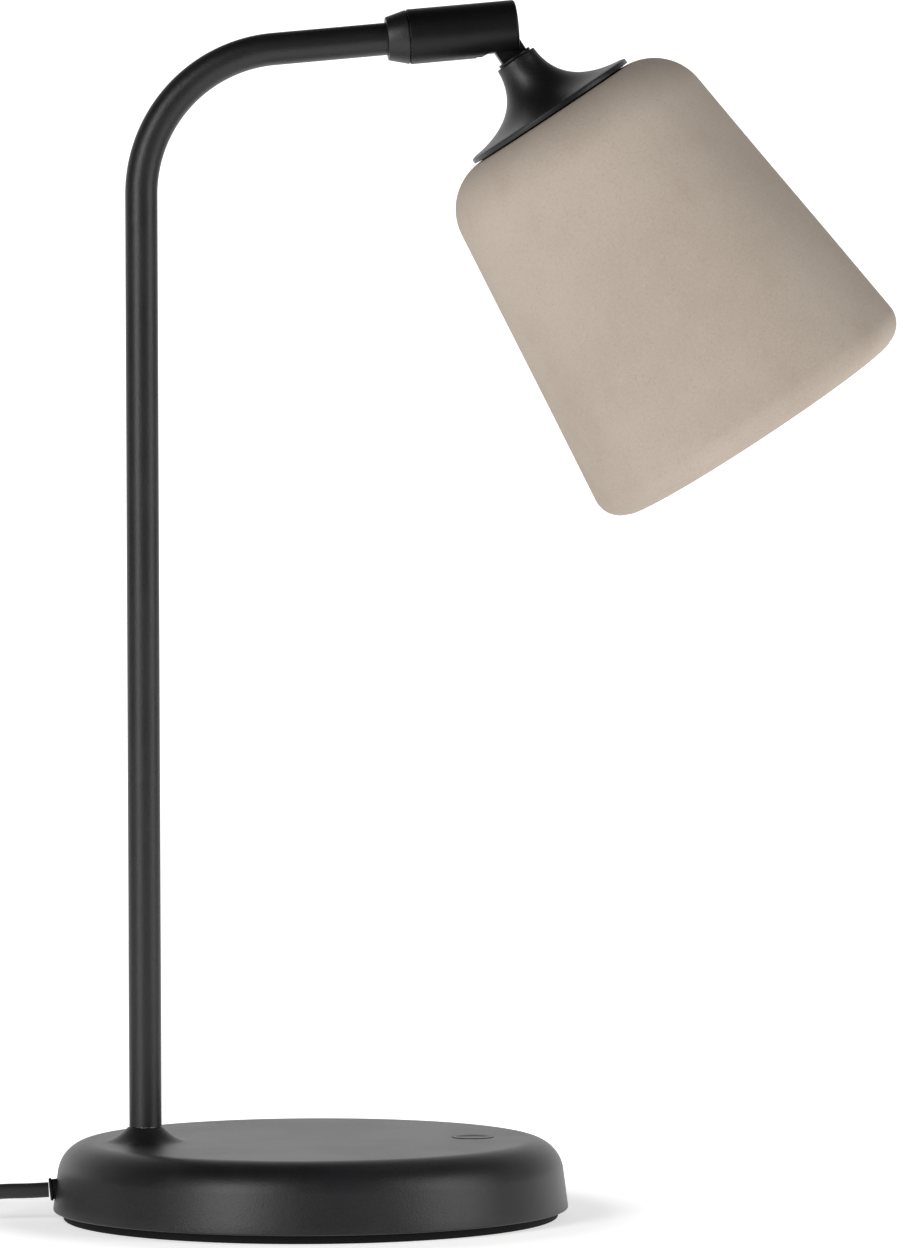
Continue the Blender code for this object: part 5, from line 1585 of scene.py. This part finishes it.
    def build_holder(self) -> None:
        """The lampholder's cap, its threaded body and the ring that clamps the shade."""
        stub, radius, top = self.stub_radius + GAP, self.holder_radius, 0.0118
        corners = [
            (stub, top, 0.0002),
            (stub + 0.0022, top, 0.0006),
            (stub + 0.0040, top - 0.0012, 0.0004),
            (radius - 0.0028, top * 0.49, 0.0015),
            (radius, top * 0.25, 0.0015),
            (radius, -0.0006, 0.0002),
            (radius - 0.0016, -0.0006, 0.0002),
            (radius - 0.0016, top * 0.20, 0.001),
            (radius - 0.0036, top * 0.35, 0.001),
            (stub + 0.0034, top - 0.0038, 0.0004),
            (stub, top - 0.0038, 0.0002),
        ]
        cap = turned("holder_cap", rounded(corners, 4, closed=True), 96)
        settle(cap, self.shade_frame)
        self.own(cap, Body.HEAD, Slot.BLACK_PLASTIC, "lampholder_cap")

        high, length, bore = -0.0009, 0.034, 0.0069
        profile = [(0, high), (radius - 0.0003, high), (radius, high - 0.0003)]
        level = high - 0.0008
        for _ in range(12):
            profile += [(radius, level), (radius - 0.0005, level - 0.0006), (radius, level - 0.0012)]
            level -= 0.0014
        profile += rounded(
            [
                (radius, level, 0),
                (radius, high - length, 0.0008),
                (bore, high - length, 0.0008),
                (bore, high - 0.0052, 0.0003),
                (0, high - 0.0052, 0),
            ]
        )
        body = turned("holder_body", profile, 96)
        settle(body, self.shade_frame)
        self.own(body, Body.HEAD, Slot.BLACK_PLASTIC, "lampholder_body")

        top, low, outer = -0.0093, -0.0133, 0.0205
        corners = [
            (radius + GAP, top, 0.0002),
            (outer, top, 0.0003),
            (outer, top - 0.0016, 0.0004),
            (outer - 0.003, low, 0.0005),
            (radius + GAP, low, 0.0003),
        ]
        ring = turned("clamp_ring", rounded(corners, 4, closed=True), 144)
        for vertex in ring.data.vertices:
            x, y, level = vertex.co
            out = hypot(x, y)
            if out > outer - 0.0035:
                notch = max(0.0, cos(12 * atan2(y, x))) ** 6 * 0.0011 * ease(out, outer - 0.0035, outer)
                vertex.co.x -= x / out * notch
                vertex.co.y -= y / out * notch
        settle(ring, self.shade_frame)
        self.own(ring, Body.HEAD, Slot.BLACK_PLASTIC, "shade_ring")

    def build_bulb(self) -> None:
        """The bulb: screw cap, white body and opal dome."""
        low = -0.0349
        cap_high = -0.0009 - 0.0052 - 2 * GAP - 0.0022
        profile = [(0, cap_high), (0.0025, cap_high), (0.0060, cap_high - 0.0035)]
        level = cap_high - 0.0045
        while level > low + 0.004:
            profile += [(0.0066, level), (0.0066, level - 0.0008), (0.0060, level - 0.0016)]
            level -= 0.0024
        profile += [(0.0066, low + 0.0012), (0.0066, low), (0, low)]
        cap = turned("bulb_thread", profile, 96)
        settle(cap, self.shade_frame, 60)
        self.own(cap, Body.HEAD, Slot.ZINC_STEEL, "bulb_cap")

        high, bottom, globe = low - GAP, low - GAP - 0.026, 0.0225
        corners = [
            (0, high, 0),
            (0.0076, high, 0.0006),
            (0.0125, high - 0.008, 0.004),
            (globe - 0.003, bottom + 0.006, 0.006),
            (globe - 0.001, bottom, 0.0004),
            (0, bottom, 0),
        ]
        body = turned("bulb_housing", rounded(corners, 6), 120)
        settle(body, self.shade_frame)
        self.own(body, Body.HEAD, Slot.WHITE_PLASTIC, "bulb_body")

        top, thick = bottom - GAP, 0.0012
        outer = arc((0, top), globe, 0, -pi / 2, 24)
        inner = arc((0, top), globe - thick, -pi / 2, 0, 24)
        profile = [(0, top - globe + thick), *inner[1:], *outer[:-1], (0, top - globe)]
        dome = turned("opal_dome", profile, 120)
        settle(dome, self.shade_frame)
        self.own(dome, Body.HEAD, Slot.OPAL, "bulb_globe")


@dataclass
class Studio:
    """The pale floor, which glows with a painted shadow round the lamp, the soft lights and the camera.

    A softbox is its name, turn in degrees, distance, height, width and height in metres, and watts.
    """

    aim: tuple[float, float, float] = (0.0533, 0.0, 0.2196)
    distance: float = 2.6
    eye_height: float = 0.282
    azimuth: float = radians(-5.0)
    roll: float = radians(-0.2)
    lens: float = 202.3
    floor_radius: float = 1.5
    softboxes: tuple[tuple[str, float, float, float, tuple[float, float], float], ...] = (
        ("left_softbox", -42.0, 1.9, 0.75, (0.6, 1.4), 23.5),
        ("right_softbox", 62.0, 1.9, 0.75, (1.0, 1.5), 20.0),
    )

    def build_camera(self) -> None:
        """Sets the camera level with the middle of the lamp."""
        data = bpy.data.cameras.new("studio_camera")
        data.lens = self.lens
        data.sensor_width = 36
        data.clip_end = 50
        camera = bpy.data.objects.new("studio_camera", data)
        bpy.context.scene.collection.objects.link(camera)
        aim = Vector(self.aim)
        camera.location = (
            aim.x + self.distance * sin(self.azimuth),
            aim.y - self.distance * cos(self.azimuth),
            self.eye_height,
        )
        look = (aim - camera.location).to_track_quat("-Z", "Y").to_matrix().to_4x4()
        camera.rotation_euler = (look @ Matrix.Rotation(self.roll, 4, "Z")).to_euler()
        bpy.context.scene.camera = camera

    def build_floor(self) -> None:
        """The sheet of white paper that the lamp stands on: it glows, brighter away from the lamp, so the
        dimmer glow near the lamp is a painted shadow.
        """
        deselect()
        bpy.ops.mesh.primitive_circle_add(vertices=96, radius=self.floor_radius, fill_type="NGON")
        floor = bpy.context.active_object
        floor.name = floor.data.name = "paper_floor"
        made, graph, shader, place = new_material("white_paper")
        noise = graph.add("TexNoise", {"Vector": place, "Scale": 900.0, "Detail": 2.0})
        colour = graph.mix(noise.outputs[0], (0.86, 0.86, 0.86, 1), (0.90, 0.90, 0.90, 1))
        graph.tree.links.new(colour, shader.inputs["Base Color"])
        shader.inputs["Roughness"].default_value = 0.95
        shader.inputs["Specular IOR Level"].default_value = 0.0
        # The paper glows, and its glow is dimmed within about 0.18 m of the lamp's middle: a painted shadow
        # round the base.
        spread = graph.add("VectorMath", {0: place}, operation="LENGTH").outputs["Value"]
        graph.tree.links.new(graph.span(spread, 0.11, 0.18, 0.52, 1.0), shader.inputs["Emission Color"])
        shader.inputs["Emission Strength"].default_value = 1.0
        floor.data.materials.append(made)

    def build_lights(self) -> None:
        """Two tall softboxes in front and a room that is bright behind and dark above."""
        for name, turn, far, height, size, power in self.softboxes:
            angle = radians(turn)
            place = Vector((self.aim[0] + far * sin(angle), -far * cos(angle), height))
            self.softbox(name, place, size, power)
        world = bpy.data.worlds.new("white_room")
        world.use_nodes = True
        graph = Graph(world.node_tree)
        background = world.node_tree.nodes["Background"]
        seen = graph.add("LightPath").outputs["Is Camera Ray"]
        way = graph.add("SeparateXYZ", {0: graph.add("TexCoord").outputs["Generated"]})
        behind = graph.span(way.outputs[1], 0.20, 0.92, 0.08, 1.35)
        low = graph.span(way.outputs[2], 0.05, 0.85, 1.0, 0.12)
        lit = graph.math("MULTIPLY", behind, low)
        strength = graph.math("MAXIMUM", lit, graph.math("MULTIPLY", seen, 1.15))
        graph.tree.links.new(strength, background.inputs["Strength"])
        background.inputs["Color"].default_value = (1, 1, 1, 1)
        bpy.context.scene.world = world
        bpy.context.scene.view_settings.view_transform = "Standard"

    def softbox(self, name: str, place: Vector, size: tuple[float, float], power: float) -> None:
        """One rectangular light that faces the lamp.

        Args:
            name: Its name.
            place: Where it stands.
            size: Its width and height.
            power: Its power in watts.
        """
        data = bpy.data.lights.new(name, "AREA")
        data.shape = "RECTANGLE"
        data.size, data.size_y = size
        data.energy = power
        light = bpy.data.objects.new(name, data)
        bpy.context.scene.collection.objects.link(light)
        light.location = place
        light.rotation_euler = (Vector((self.aim[0], 0, 0.2)) - place).to_track_quat("-Z", "Y").to_euler()


def main() -> None:
    """Builds the studio and the lamp."""
    logging.basicConfig(level=logging.INFO, format="%(message)s")
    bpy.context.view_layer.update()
    finishes = Finishes()
    finishes.dress_nodes()
    studio = Studio()
    studio.build_camera()
    PowerCord(finishes).build()
    stand = Stand(finishes)
    dimmer = Dimmer(finishes)
    stand.build(dimmer.button_x, dimmer.radius + GAP)
    dimmer.build(stand.top, stand.wall)
    swivel = Swivel(finishes, stand.arm_frame)
    swivel.build()
    Head(finishes, stand.seam + stand.arm * swivel.pivot).build()
    studio.build_floor()
    studio.build_lights()


if __name__ == "__main__":
    main()
